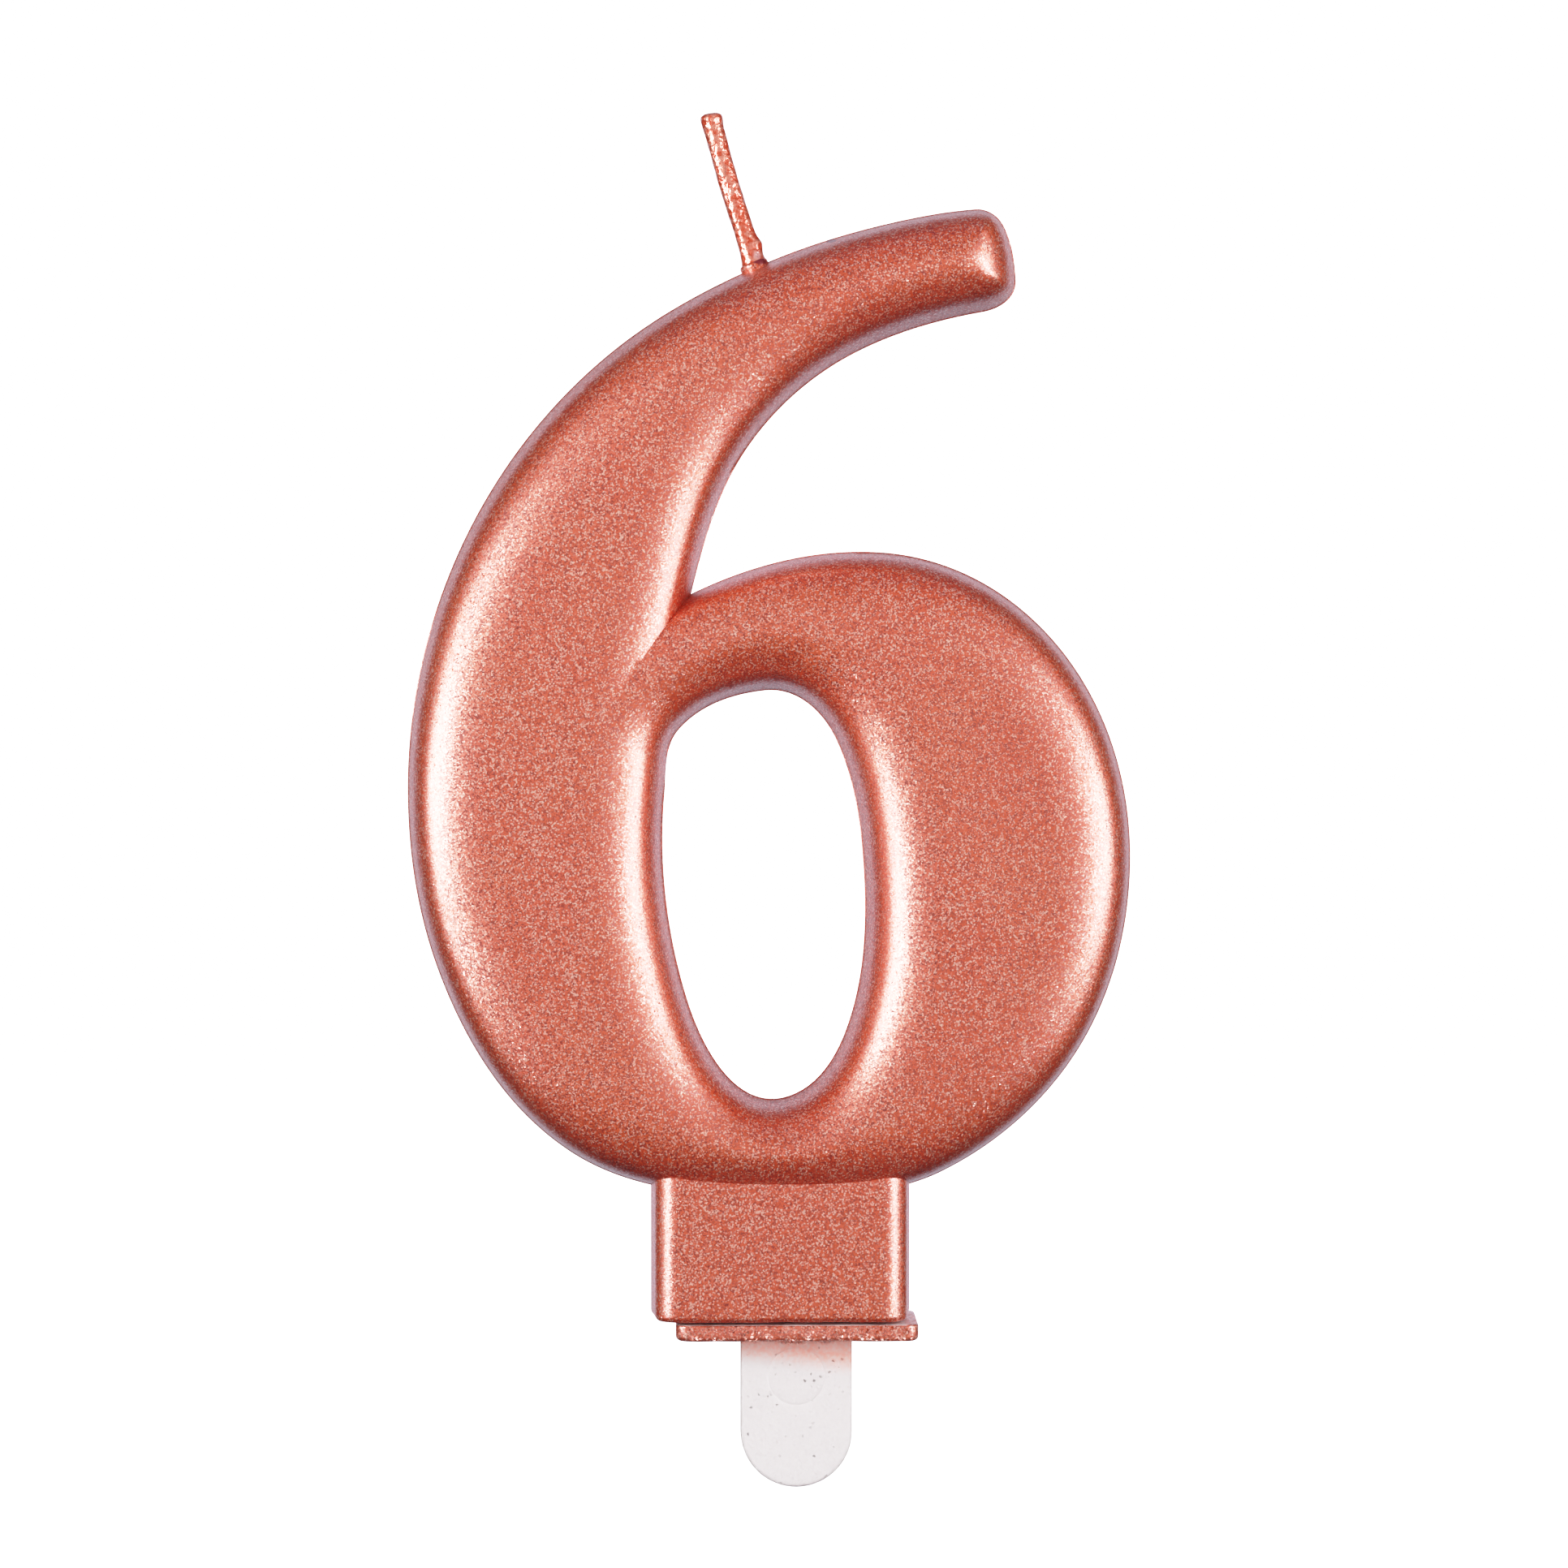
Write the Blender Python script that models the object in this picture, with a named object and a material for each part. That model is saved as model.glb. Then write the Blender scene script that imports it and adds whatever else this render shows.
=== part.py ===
"""Number birthday candle: a moulded wax figure six with a twisted wick, standing on a plastic cake pick.

Sizes are in millimetres. X points right, Z points up and the front faces -Y. The origin is the centre of
the pick at the underside of its flange. The numeral is the same in front and behind its parting plane, Y = 0.
"""

import math

import bpy
import numpy as np
from mathutils.geometry import delaunay_2d_cdt

MM = 0.001

# Numeral, in the parting plane. A knot is (x, z, heading in degrees), and the outline runs clockwise.
BOTTOM = (-1.3, 9.6)
NOTCH = (-7.1, 50.3)
OUTER_SIDE = [
    (*BOTTOM, 180),
    (-15.4, 12.7, 146),
    (-24.2, 25.0, 110),
    (-26.2, 37.1, 90),
    (-23.1, 52.3, 67),
    (-12.4, 66.6, 39),
    (-2.0, 72.6, 23),
    (6.3, 75.25, 13),
    (12.1, 76.2, 4),
    (14.0, 75.05, -63),
    (14.8, 71.4, -87),
    (12.6, 69.3, -170),
    (3.7, 66.4, -152),
    (-3.4, 60.0, -124),
    (*NOTCH, -104),
]
BOWL_SIDE = [
    (*NOTCH, 26),
    (5.8, 53.1, -4),
    (14.8, 49.6, -38),
    (22.6, 32.5, -90),
    (17.6, 17.4, -129),
    (9.8, 11.2, -154),
    (*BOTTOM, 180),
]
COUNTER = [
    (-2.1, 43.8, -174),
    (-7.9, 41.2, -132),
    (-8.9, 36.8, -95),
    (-7.4, 23.0, -73),
    (-0.4, 16.4, 20),
    (3.5, 21.2, 71),
    (4.6, 31.2, 93),
    (2.7, 40.5, 115),
    (-2.1, 43.8, -174),
]
COUNTER_LEFT = COUNTER[2:5]
# Where each stroke's edge runs on inside the other stroke. The two make the crease below the notch.
STEM_HIDDEN_SIDE = [(*NOTCH, -104), COUNTER_LEFT[0]]
MERGE_KNOT = 2
BOWL_HIDDEN_SIDE = [(-24.2, 25.0, 110), (-17.3, 43.2, 52), (*NOTCH, 26)]

# Section of the moulded wax, on each side of the parting plane: a drafted wall, then an elliptical crown.
WALL_HEIGHT = 3.6
WALL_DRAFT = 0.8
CROWN_HEIGHT = 2.5
CROWN_WIDTH = 4.8

# Mesh of the numeral: rings of points at these shares of the crown's width, and a grid inside them.
CROWN_SHARES = (0, 0.03, 0.1, 0.225, 0.41, 0.655, 0.96)
FILL_SPACING = 2.0
LONGEST_STEP = 1.9
WIDEST_TURN = 13.0
RING_LEAST_SHARE = 0.985
RING_MOST_EXTRA = 0.5
MERGE_DISTANCE = 1e-4
ON_EDGE = 1e-3

# Foot block under the bowl, off the pick's centre.
FOOT_X = -1.08
FOOT_WIDTH = 17.3
FOOT_BOTTOM = 1.25
FOOT_TOP = 12.6
FOOT_FRONT = 4.6
FOOT_ROUND = 1.3
FOOT_ROUND_STEPS = 5

# Socket in the foot, and the channel that the wick fills.
SOCKET_WIDTH = 6.6
SOCKET_DEPTH = 2.6
SOCKET_CHAMFER = 0.3
SOCKET_TOP = 9.9
CHANNEL_RADIUS = 0.95
CHANNEL_STEP = 1.6
CHANNEL_SIDES = 8

# Wick, twisted from three yarns. The route runs in the parting plane, from its lower end up to its tip.
YARNS = 3
YARN_RADIUS = 0.3
YARN_ORBIT = 0.42
TWIST_PITCH = 15.0
EMBEDDED_STEP = 1.2
EMBEDDED_SIDES = 6
EXPOSED_STEP = 0.8
EXPOSED_SIDES = 8
EMBEDDED_ROUTE = [
    (-11.0, 14.8, 130),
    (-16.5, 24.7, 103),
    (-18.1, 36.0, 90),
    (-15.4, 54.8, 60),
    (-5.0, 66.2, 33),
    (-2.3, 69.4, 96),
    (-2.8, 72.4, 106),
]
EXPOSED_ROUTE = [(-2.8, 72.4, 106), (-4.4, 77.5, 107), (-5.75, 82.4, 105)]
ROOT_GAP = 0.4
# Above the wick's entry: the top of the embedded yarns, the bend, and the foot of the exposed yarns.
STUB_RISE = 0.25
PIVOT_RISE = 0.7
TIP_RISE = 0.85

# Collar of wax that seals the wick's entry. Its section is in shares of its width and its height.
SEAL_INNER = 0.86
SEAL_OUTER = 1.2
SEAL_HEIGHT = 0.34
SEAL_GAP = 0.1
SEAL_SLOPE = 22.5
SEAL_TURNS = 20
SEAL_SECTION = [(0, 0), (1, 0), (0.9, 0.4), (0.55, 0.85), (0.25, 1.0), (0, 0.8)]

# Cake pick: a flat blade with a tab below, a barbed tang above and a flange between.
BLADE_THICKNESS = 1.8
TAB_WIDTH = 7.56
TAB_LENGTH = 10.1
FLANGE_WIDTH = 16.3
FLANGE_DEPTH = 8.2
FLANGE_THICKNESS = 1.15
FLANGE_CHAMFER = 0.3
TANG_WIDTH = 4.8
TANG_TOP = 9.2
TANG_POINT = 1.2
BARB = 0.45
BARB_COUNT = 3
BARB_POINT_SHARE = 0.15
BARB_END_SHARE = 0.85

MATERIALS = {
    "rose_gold_wax": ((0.66, 0.20, 0.13), 0.33, 0.85),
    "wick_yarn": ((0.70, 0.26, 0.19), 0.5, 0.7),
    "pick_plastic": ((0.82, 0.79, 0.80), 0.4, 0.0),
}


def clear_scene():
    for obj in list(bpy.data.objects):
        bpy.data.objects.remove(obj, do_unlink=True)


def make_material(name):
    colour, roughness, metallic = MATERIALS[name]
    material = bpy.data.materials.new(name)
    material.use_nodes = True
    shader = material.node_tree.nodes["Principled BSDF"]
    shader.inputs["Base Color"].default_value = (*colour, 1.0)
    shader.inputs["Roughness"].default_value = roughness
    shader.inputs["Metallic"].default_value = metallic
    material.diffuse_color = (*colour, 1.0)
    return material


# ---- plane curves


def handle_ratio(leaving, arriving):
    """Hobby's rule: a Bezier handle's length over the chord, from the angles at its two ends."""
    ripple = math.sqrt(2) * (math.sin(leaving) - math.sin(arriving) / 16)
    ripple *= math.sin(arriving) - math.sin(leaving) / 16
    ripple *= math.cos(leaving) - math.cos(arriving)
    golden = math.sqrt(5)
    spread = 1 + 0.5 * (golden - 1) * math.cos(leaving) + 0.5 * (3 - golden) * math.cos(arriving)
    return (2 + ripple) / (3 * spread)


def turn_between(first, second):
    """The signed turn from one heading to another, in radians."""
    return math.radians((second - first + 180) % 360 - 180)


def curve_between(start, end):
    """Points from one knot to the next, without the last one."""
    first = np.array(start[:2])
    last = np.array(end[:2])
    chord = last - first
    length = math.hypot(*chord)
    bearing = math.degrees(math.atan2(chord[1], chord[0]))
    leaving = turn_between(bearing, start[2])
    arriving = turn_between(end[2], bearing)
    out = np.array([math.cos(math.radians(start[2])), math.sin(math.radians(start[2]))])
    into = np.array([math.cos(math.radians(end[2])), math.sin(math.radians(end[2]))])
    second = first + out * length * handle_ratio(leaving, arriving)
    third = last - into * length * handle_ratio(arriving, leaving)
    turned = math.degrees(abs(leaving) + abs(arriving))
    count = math.ceil(max(length / LONGEST_STEP, turned / WIDEST_TURN))
    t = (np.arange(count) / count)[:, None]
    return (1 - t) ** 3 * first + 3 * (1 - t) ** 2 * t * second + 3 * (1 - t) * t**2 * third + t**3 * last


def curve_through(knots):
    """Points along a smooth curve through the knots, both ends included."""
    stretches = [curve_between(a, b) for a, b in zip(knots, knots[1:])]
    return np.concatenate([*stretches, [knots[-1][:2]]])


def joined(*curves):
    """Curves laid end to end as one closed loop, each shared end counted once."""
    return np.concatenate([curve[:-1] for curve in curves])


def inside(points, loops):
    """Whether each point lies inside the loops, by the even-odd rule."""
    result = np.zeros(len(points), bool)
    for loop in loops:
        for (x0, z0), (x1, z1) in zip(loop, np.roll(loop, -1, axis=0)):
            if z0 == z1:
                continue
            spans = (points[:, 1] > z0) != (points[:, 1] > z1)
            crossing = x0 + (points[:, 1] - z0) * (x1 - x0) / (z1 - z0)
            result ^= spans & (points[:, 0] < crossing)
    return result


def depth_inside(points, loops):
    """Distance from each point to the loops, or zero outside them."""
    nearest = np.full(len(points), np.inf)
    for loop in loops:
        for start, end in zip(loop, np.roll(loop, -1, axis=0)):
            edge = end - start
            share = np.clip((points - start) @ edge / (edge @ edge), 0, 1)
            gap = points - start - share[:, None] * edge
            nearest = np.minimum(nearest, np.hypot(gap[:, 0], gap[:, 1]))
    return np.where(inside(points, loops), nearest, 0)


# ---- solids


def new_object(name, points, faces, material):
    mesh = bpy.data.meshes.new(name)
    mesh.from_pydata([tuple(float(v) * MM for v in point) for point in points], [], faces)
    mesh.validate()
    obj = bpy.data.objects.new(name, mesh)
    bpy.context.scene.collection.objects.link(obj)
    if material:
        mesh.materials.append(material)
    return obj


def shade_round(obj, sharp_degrees=35):
    obj.data.shade_smooth()
    obj.data.set_sharp_from_angle(angle=math.radians(sharp_degrees))


def combine(obj, name, other, operation):
    """Adds a Boolean and hides the piece that it takes."""
    modifier = obj.modifiers.new(name, "BOOLEAN")
    modifier.operation = operation
    modifier.solver = "EXACT"
    modifier.object = other
    other.hide_render = True
    other.display_type = "WIRE"


def prism(name, outline, low, high, axes, material=None):
    """An outline in one plane, extruded from low to high along the third axis. Axes is such as 'xzy'."""
    columns = ["xyz".index(letter) for letter in axes]
    count = len(outline)
    points = np.zeros((2 * count, 3))
    points[:, columns[:2]] = np.concatenate([outline, outline])
    points[:, columns[2]] = np.repeat([low, high], count)
    around = [(i, (i + 1) % count, count + (i + 1) % count, count + i) for i in range(count)]
    caps = [tuple(reversed(range(count))), tuple(range(count, 2 * count))]
    faces = around + caps
    flipped = axes not in ("xyz", "yzx", "zxy")
    if flipped:
        faces = [tuple(reversed(face)) for face in faces]
    return new_object(name, points, faces, material)


def tube(name, path, radius, sides, material=None):
    """A closed tube round a path of 3-D points, with its sides counted from the Y direction."""
    path = np.asarray(path)
    along = np.gradient(path, axis=0)
    along /= np.linalg.norm(along, axis=1, keepdims=True)
    across = np.cross(along, [0, 1, 0])
    across /= np.linalg.norm(across, axis=1, keepdims=True)
    upright = np.cross(across, along)
    angle = np.arange(sides) * 2 * math.pi / sides
    ring = np.cos(angle)[None, :, None] * upright[:, None, :]
    ring = ring + np.sin(angle)[None, :, None] * across[:, None, :]
    points = (path[:, None, :] + radius * ring).reshape(-1, 3)
    faces = []
    for i in range(len(path) - 1):
        for j in range(sides):
            k = (j + 1) % sides
            faces.append((i * sides + j, i * sides + k, (i + 1) * sides + k, (i + 1) * sides + j))
    faces.append(tuple(reversed(range(sides))))
    faces.append(tuple(range((len(path) - 1) * sides, len(path) * sides)))
    return new_object(name, points, faces, material)


# ---- the numeral


def numeral_shapes():
    """The outline with its counter, and the two overlapping strokes that shape the surface."""
    outer = curve_through(OUTER_SIDE)
    bowl = curve_through(BOWL_SIDE)
    counter = curve_through(COUNTER)[:-1]
    left_of_counter = curve_through(COUNTER_LEFT)
    across_bottom = np.array([COUNTER_LEFT[-1][:2], BOTTOM])
    stem = joined(outer, curve_through(STEM_HIDDEN_SIDE), left_of_counter, across_bottom)
    ring = joined(bowl, curve_through(OUTER_SIDE[: MERGE_KNOT + 1]), curve_through(BOWL_HIDDEN_SIDE))
    return [joined(outer, bowl), counter], [stem], [ring, counter]


def half_depth(distance):
    """How far the wax stands out from the parting plane at a distance in from the outline."""
    wall = WALL_HEIGHT * np.clip(distance / WALL_DRAFT, 0, 1)
    share = np.clip((distance - WALL_DRAFT) / CROWN_WIDTH, 0, 1)
    return wall + CROWN_HEIGHT * np.sqrt(1 - (1 - share) ** 2)


def ring_points(loop, level, distance_at):
    """The loop moved inwards by a level, and which of its points really are that far in."""
    ahead = np.roll(loop, -1, axis=0) - np.roll(loop, 1, axis=0)
    ahead /= np.linalg.norm(ahead, axis=1, keepdims=True)
    moved = [loop + side * level * np.column_stack([ahead[:, 1], -ahead[:, 0]]) for side in (1, -1)]
    inner = max(moved, key=lambda points: distance_at(points).sum())
    found = distance_at(inner)
    kept = (found > RING_LEAST_SHARE * level) & (found < level + RING_MOST_EXTRA)
    return inner, kept


def grid_points(low, high):
    """Staggered rows of points over a rectangle."""
    columns = np.arange(low[0], high[0], FILL_SPACING)
    rows = np.arange(low[1], high[1], FILL_SPACING * math.sqrt(0.75))
    return np.array([(x + FILL_SPACING / 2 * (i % 2), z) for i, z in enumerate(rows) for x in columns])


def numeral_plan():
    """Triangles that fill the outline, their corners, and each corner's distance from the edge."""
    outlines, stem, ring = numeral_shapes()

    def distance_at(points):
        in_strokes = np.maximum(depth_inside(points, stem), depth_inside(points, ring))
        return np.minimum(in_strokes, depth_inside(points, outlines))

    points = [np.concatenate(outlines)]
    edges = []
    first = 0
    for loop in outlines:
        edges += [(first + i, first + (i + 1) % len(loop)) for i in range(len(loop))]
        first += len(loop)
    levels = [WALL_DRAFT + share * CROWN_WIDTH for share in CROWN_SHARES]
    for level in levels:
        for loop in stem + ring:
            moved, kept = ring_points(loop, level, distance_at)
            places = first + np.cumsum(kept) - 1
            follows = np.roll(kept, -1)
            edges += [
                (int(places[i]), int(places[(i + 1) % len(loop)]))
                for i in np.flatnonzero(kept & follows)
            ]
            points.append(moved[kept])
            first += int(kept.sum())
    grid = grid_points(points[0].min(axis=0), points[0].max(axis=0))
    points.append(grid[distance_at(grid) > levels[-1] + FILL_SPACING / 3])
    flat = [tuple(float(v) for v in point) for point in np.concatenate(points)]
    corners, _, triangles, _, _, _ = delaunay_2d_cdt(flat, edges, [], 0, MERGE_DISTANCE)
    corners = np.array([tuple(corner) for corner in corners])
    triangles = np.array(triangles)
    triangles = triangles[inside(corners[triangles].mean(axis=1), outlines)]
    return corners, distance_at(corners), triangles


def numeral_solid(material):
    """The plan's triangles stood off in front of the parting plane and behind it, meeting at the outline."""
    corners, distance, triangles = numeral_plan()
    depth = half_depth(distance)
    on_parting = distance < ON_EDGE
    depth[on_parting] = 0
    used = np.unique(triangles)
    front = {int(corner): place for place, corner in enumerate(used)}
    behind = {}
    solid = [(corners[i][0], -depth[i], corners[i][1]) for i in used]
    for i in used:
        if on_parting[i]:
            behind[int(i)] = front[int(i)]
        else:
            behind[int(i)] = len(solid)
            solid.append((corners[i][0], depth[i], corners[i][1]))
    faces = []
    for a, b, c in triangles.tolist():
        (xa, za), (xb, zb), (xc, zc) = corners[[a, b, c]]
        clockwise = (xb - xa) * (zc - za) < (xc - xa) * (zb - za)
        if clockwise:
            b, c = c, b
        faces.append((front[a], front[b], front[c]))
        faces.append((behind[a], behind[c], behind[b]))
    return new_object("wax_body", solid, faces, material)


def foot_outline():
    """The foot block's plan, with drafted sides that meet on the parting plane and rounded edges."""
    side = FOOT_WIDTH / 2
    quarter = [(side, 0.0), (side - WALL_DRAFT, WALL_HEIGHT)]
    for i in range(1, FOOT_ROUND_STEPS + 1):
        angle = math.radians(90 * i / FOOT_ROUND_STEPS)
        across = side - WALL_DRAFT - FOOT_ROUND * (1 - math.cos(angle))
        quarter.append((across, WALL_HEIGHT + (FOOT_FRONT - WALL_HEIGHT) * math.sin(angle)))
    half = quarter + [(-x, y) for x, y in reversed(quarter[1:])] + [(-side, 0.0)]
    whole = half + [(x, -y) for x, y in reversed(half[1:-1])]
    return np.array([(FOOT_X + x, y) for x, y in whole])


def box_outline(width, depth, chamfer=0.0):
    """A rectangle about the origin, anticlockwise, with its corners cut."""
    x, y = width / 2, depth / 2
    if not chamfer:
        return np.array([(-x, -y), (x, -y), (x, y), (-x, y)])
    right = [(x - chamfer, -y), (x, chamfer - y), (x, y - chamfer), (x - chamfer, y)]
    left = [(-across, -along) for across, along in right]
    return np.array(right + left)


def in_parting_plane(curve):
    return np.column_stack([curve[:, 0], np.zeros(len(curve)), curve[:, 1]])


def lengths_along(curve):
    return np.r_[0, np.cumsum(np.hypot(*np.diff(curve, axis=0).T))]


def stretch_of(curve, start, end, step):
    """The part of a curve between two lengths along it, with points about a step apart."""
    lengths = lengths_along(curve)
    places = np.linspace(start, end, max(round((end - start) / step), 2) + 1)
    return np.column_stack([np.interp(places, lengths, curve[:, i]) for i in (0, 1)])


def wax_body(material):
    body = numeral_solid(material)
    foot = prism("foot_block", foot_outline(), FOOT_BOTTOM, FOOT_TOP, "xyz")
    combine(body, "foot", foot, "UNION")
    socket_plan = box_outline(SOCKET_WIDTH, SOCKET_DEPTH, SOCKET_CHAMFER)
    socket = prism("socket_cutter", socket_plan, 0, SOCKET_TOP, "xyz")
    combine(body, "socket", socket, "DIFFERENCE")
    route, entry = wick_route()
    route = stretch_of(route, 0, entry + CHANNEL_STEP, CHANNEL_STEP)
    channel = tube("wick_channel_cutter", in_parting_plane(route), CHANNEL_RADIUS, CHANNEL_SIDES)
    combine(body, "wick_channel", channel, "DIFFERENCE")
    shade_round(body)


def wick_route():
    """The wick's centre line from its lower end to its tip, and the length at which it leaves the wax."""
    embedded = curve_through(EMBEDDED_ROUTE)
    whole = np.concatenate([embedded[:-1], curve_through(EXPOSED_ROUTE)])
    return whole, lengths_along(embedded)[-1]


def yarn_path(route, phase, start, end, step):
    """One yarn's centre line between two lengths along the wick, winding round it."""
    centre = stretch_of(route, start, end, step)
    along = np.gradient(centre, axis=0)
    along /= np.linalg.norm(along, axis=1, keepdims=True)
    angle = phase + 2 * math.pi * (start + lengths_along(centre)) / TWIST_PITCH
    sideways = YARN_ORBIT * np.sin(angle)
    x = centre[:, 0] - sideways * along[:, 1]
    z = centre[:, 1] + sideways * along[:, 0]
    return np.column_stack([x, YARN_ORBIT * np.cos(angle), z])


def wick_yarns(material, pivot):
    route, entry = wick_route()
    tip = lengths_along(route)[-1]
    for k in range(YARNS):
        phase = 2 * math.pi * k / YARNS
        path = yarn_path(route, phase, ROOT_GAP, entry + STUB_RISE, EMBEDDED_STEP)
        shade_round(tube(f"wick_embedded_yarn_{k + 1}", path, YARN_RADIUS, EMBEDDED_SIDES, material))
        path = yarn_path(route, phase, entry + TIP_RISE, tip, EXPOSED_STEP)
        free_end = tube(f"wick_exposed_yarn_{k + 1}", path, YARN_RADIUS, EXPOSED_SIDES, material)
        shade_round(free_end)
        free_end.parent = pivot
        free_end.matrix_parent_inverse = pivot.matrix_world.inverted()


def wick_pivot():
    """An empty where the free wick bends, just clear of the wax."""
    x, z, heading = EXPOSED_ROUTE[0]
    pivot = bpy.data.objects.new("wick_bend", None)
    place = (
        (x + PIVOT_RISE * math.cos(math.radians(heading))) * MM,
        0,
        (z + PIVOT_RISE * math.sin(math.radians(heading))) * MM,
    )
    pivot.location = place
    bpy.context.scene.collection.objects.link(pivot)
    bpy.context.view_layer.update()
    return pivot


def wick_seal(material):
    """A low turned collar, square to the arm's upper edge where the wick comes out."""
    x, z, _ = EXPOSED_ROUTE[0]
    slope = math.radians(SEAL_SLOPE)
    points = []
    for i in range(SEAL_TURNS):
        angle = 2 * math.pi * i / SEAL_TURNS
        for width_share, height_share in SEAL_SECTION:
            radius = SEAL_INNER + width_share * (SEAL_OUTER - SEAL_INNER)
            right = radius * math.cos(angle)
            up = SEAL_GAP + height_share * SEAL_HEIGHT
            points.append(
                (
                    x + right * math.cos(slope) - up * math.sin(slope),
                    radius * math.sin(angle),
                    z + right * math.sin(slope) + up * math.cos(slope),
                )
            )
    count = len(SEAL_SECTION)
    faces = []
    for i in range(SEAL_TURNS):
        following = (i + 1) % SEAL_TURNS
        for j in range(count):
            k = (j + 1) % count
            faces.append((i * count + j, following * count + j, following * count + k, i * count + k))
    shade_round(new_object("wick_seal_drop", points, faces, material))


# ---- the pick


def blade_outline():
    """Half the blade's edge from the tab's tip up to the tang's point, then its mirror image."""
    half = TAB_WIDTH / 2
    tip = curve_through([(0, -TAB_LENGTH, 0), (half, half - TAB_LENGTH, 90)])
    right = [tuple(point) for point in tip]
    right.append((half, FLANGE_THICKNESS / 2))
    tang = TANG_WIDTH / 2
    right.append((tang, FLANGE_THICKNESS / 2))
    pitch = (TANG_TOP - TANG_POINT - FLANGE_THICKNESS) / (BARB_COUNT + 0.5)
    for i in range(BARB_COUNT):
        base = FLANGE_THICKNESS + pitch * (i + 0.5)
        right.append((tang, base))
        right.append((tang + BARB, base + BARB_POINT_SHARE * pitch))
        right.append((tang, base + BARB_END_SHARE * pitch))
    right += [(tang, TANG_TOP - TANG_POINT), (tang - TANG_POINT, TANG_TOP)]
    left = [(-x, z) for x, z in reversed(right) if x > 0]
    return np.array(right + left)


def cake_pick(material):
    half = BLADE_THICKNESS / 2
    pick = prism("cake_pick", blade_outline(), -half, half, "xzy", material)
    plate = box_outline(FLANGE_WIDTH, FLANGE_THICKNESS)
    plate[:, 1] += FLANGE_THICKNESS / 2
    flange = prism("flange_plate", plate, -FLANGE_DEPTH / 2, FLANGE_DEPTH / 2, "xzy")
    bevel = flange.modifiers.new("chamfer", "BEVEL")
    bevel.width = FLANGE_CHAMFER * MM
    bevel.segments = 2
    combine(pick, "flange", flange, "UNION")
    shade_round(pick)


def main():
    clear_scene()
    materials = {name: make_material(name) for name in MATERIALS}
    wax_body(materials["rose_gold_wax"])
    wick_seal(materials["rose_gold_wax"])
    wick_yarns(materials["wick_yarn"], wick_pivot())
    cake_pick(materials["pick_plastic"])


main()
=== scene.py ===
"""Looks for the number birthday candle: lacquered wax numeral, twisted wick and plastic cake pick.

Shapes are worked out in millimetres and turned into metres when a mesh is made. X is to the right, Z up
and -Y towards the reader. The outline's knots are the CAD part's, with a finer section.
"""

import math

import bpy
import numpy as np
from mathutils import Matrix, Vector, noise
from mathutils.geometry import delaunay_2d_cdt
from mathutils.kdtree import KDTree


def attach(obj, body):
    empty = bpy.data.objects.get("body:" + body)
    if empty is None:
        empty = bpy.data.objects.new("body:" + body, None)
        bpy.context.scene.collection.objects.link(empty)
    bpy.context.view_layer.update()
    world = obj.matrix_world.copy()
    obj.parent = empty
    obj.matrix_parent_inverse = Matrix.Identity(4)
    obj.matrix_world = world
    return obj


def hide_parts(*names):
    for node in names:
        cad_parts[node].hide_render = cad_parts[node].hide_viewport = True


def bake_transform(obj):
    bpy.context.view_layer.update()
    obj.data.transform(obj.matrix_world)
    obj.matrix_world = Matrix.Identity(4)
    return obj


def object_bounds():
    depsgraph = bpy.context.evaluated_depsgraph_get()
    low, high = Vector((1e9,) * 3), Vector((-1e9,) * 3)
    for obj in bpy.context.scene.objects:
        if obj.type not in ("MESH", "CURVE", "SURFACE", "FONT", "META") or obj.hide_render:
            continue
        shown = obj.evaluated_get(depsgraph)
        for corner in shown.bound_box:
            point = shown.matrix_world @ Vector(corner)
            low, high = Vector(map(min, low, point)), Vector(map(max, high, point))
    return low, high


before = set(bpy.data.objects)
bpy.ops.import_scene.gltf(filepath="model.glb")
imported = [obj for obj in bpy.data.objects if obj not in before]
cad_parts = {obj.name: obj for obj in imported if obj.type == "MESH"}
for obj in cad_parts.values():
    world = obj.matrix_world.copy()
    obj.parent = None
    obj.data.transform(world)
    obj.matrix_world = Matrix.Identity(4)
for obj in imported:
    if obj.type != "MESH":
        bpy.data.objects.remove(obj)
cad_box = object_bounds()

MM = 0.001
TO_BACK = np.array([0, 1, 0])
RIM_TOLERANCE = 0.002
ON_EDGE = 1e-9
MERGE_DISTANCE = 1e-4
FAR_AWAY = (1000.0, 1000.0)
BATCH = 1500

# Numeral outline in the parting plane: x, z, heading in degrees, and how far the wall leans in there.
BOTTOM = (-1.3, 9.6)
BOTTOM_LEAN = 0.8
NOTCH = (-7.1, 50.3)
NOTCH_LEAN = 0.45
OUTER_SIDE = [
    (*BOTTOM, 180, BOTTOM_LEAN),
    (-15.4, 12.7, 146, 0.8),
    (-24.2, 25.0, 110, 0.78),
    (-26.2, 37.1, 90, 0.78),
    (-23.1, 52.3, 67, 1.1),
    (-12.4, 66.6, 39, 1.25),
    (-2.0, 72.6, 23, 1.0),
    (6.3, 75.25, 13, 0.85),
    (12.1, 76.2, 4, 0.86),
    (14.0, 75.05, -63, 1.0),
    (14.8, 71.4, -87, 1.05),
    (12.6, 69.3, -170, 0.92),
    (3.7, 66.4, -152, 0.9),
    (-3.4, 60.0, -124, 0.72),
    (*NOTCH, -104, NOTCH_LEAN),
]
BOWL_SIDE = [
    (*NOTCH, 26, NOTCH_LEAN),
    (5.8, 53.1, -4, 0.72),
    (14.8, 49.6, -38, 0.75),
    (22.6, 32.5, -90, 0.8),
    (17.6, 17.4, -129, 0.8),
    (9.8, 11.2, -154, 0.8),
    (*BOTTOM, 180, BOTTOM_LEAN),
]
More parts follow.
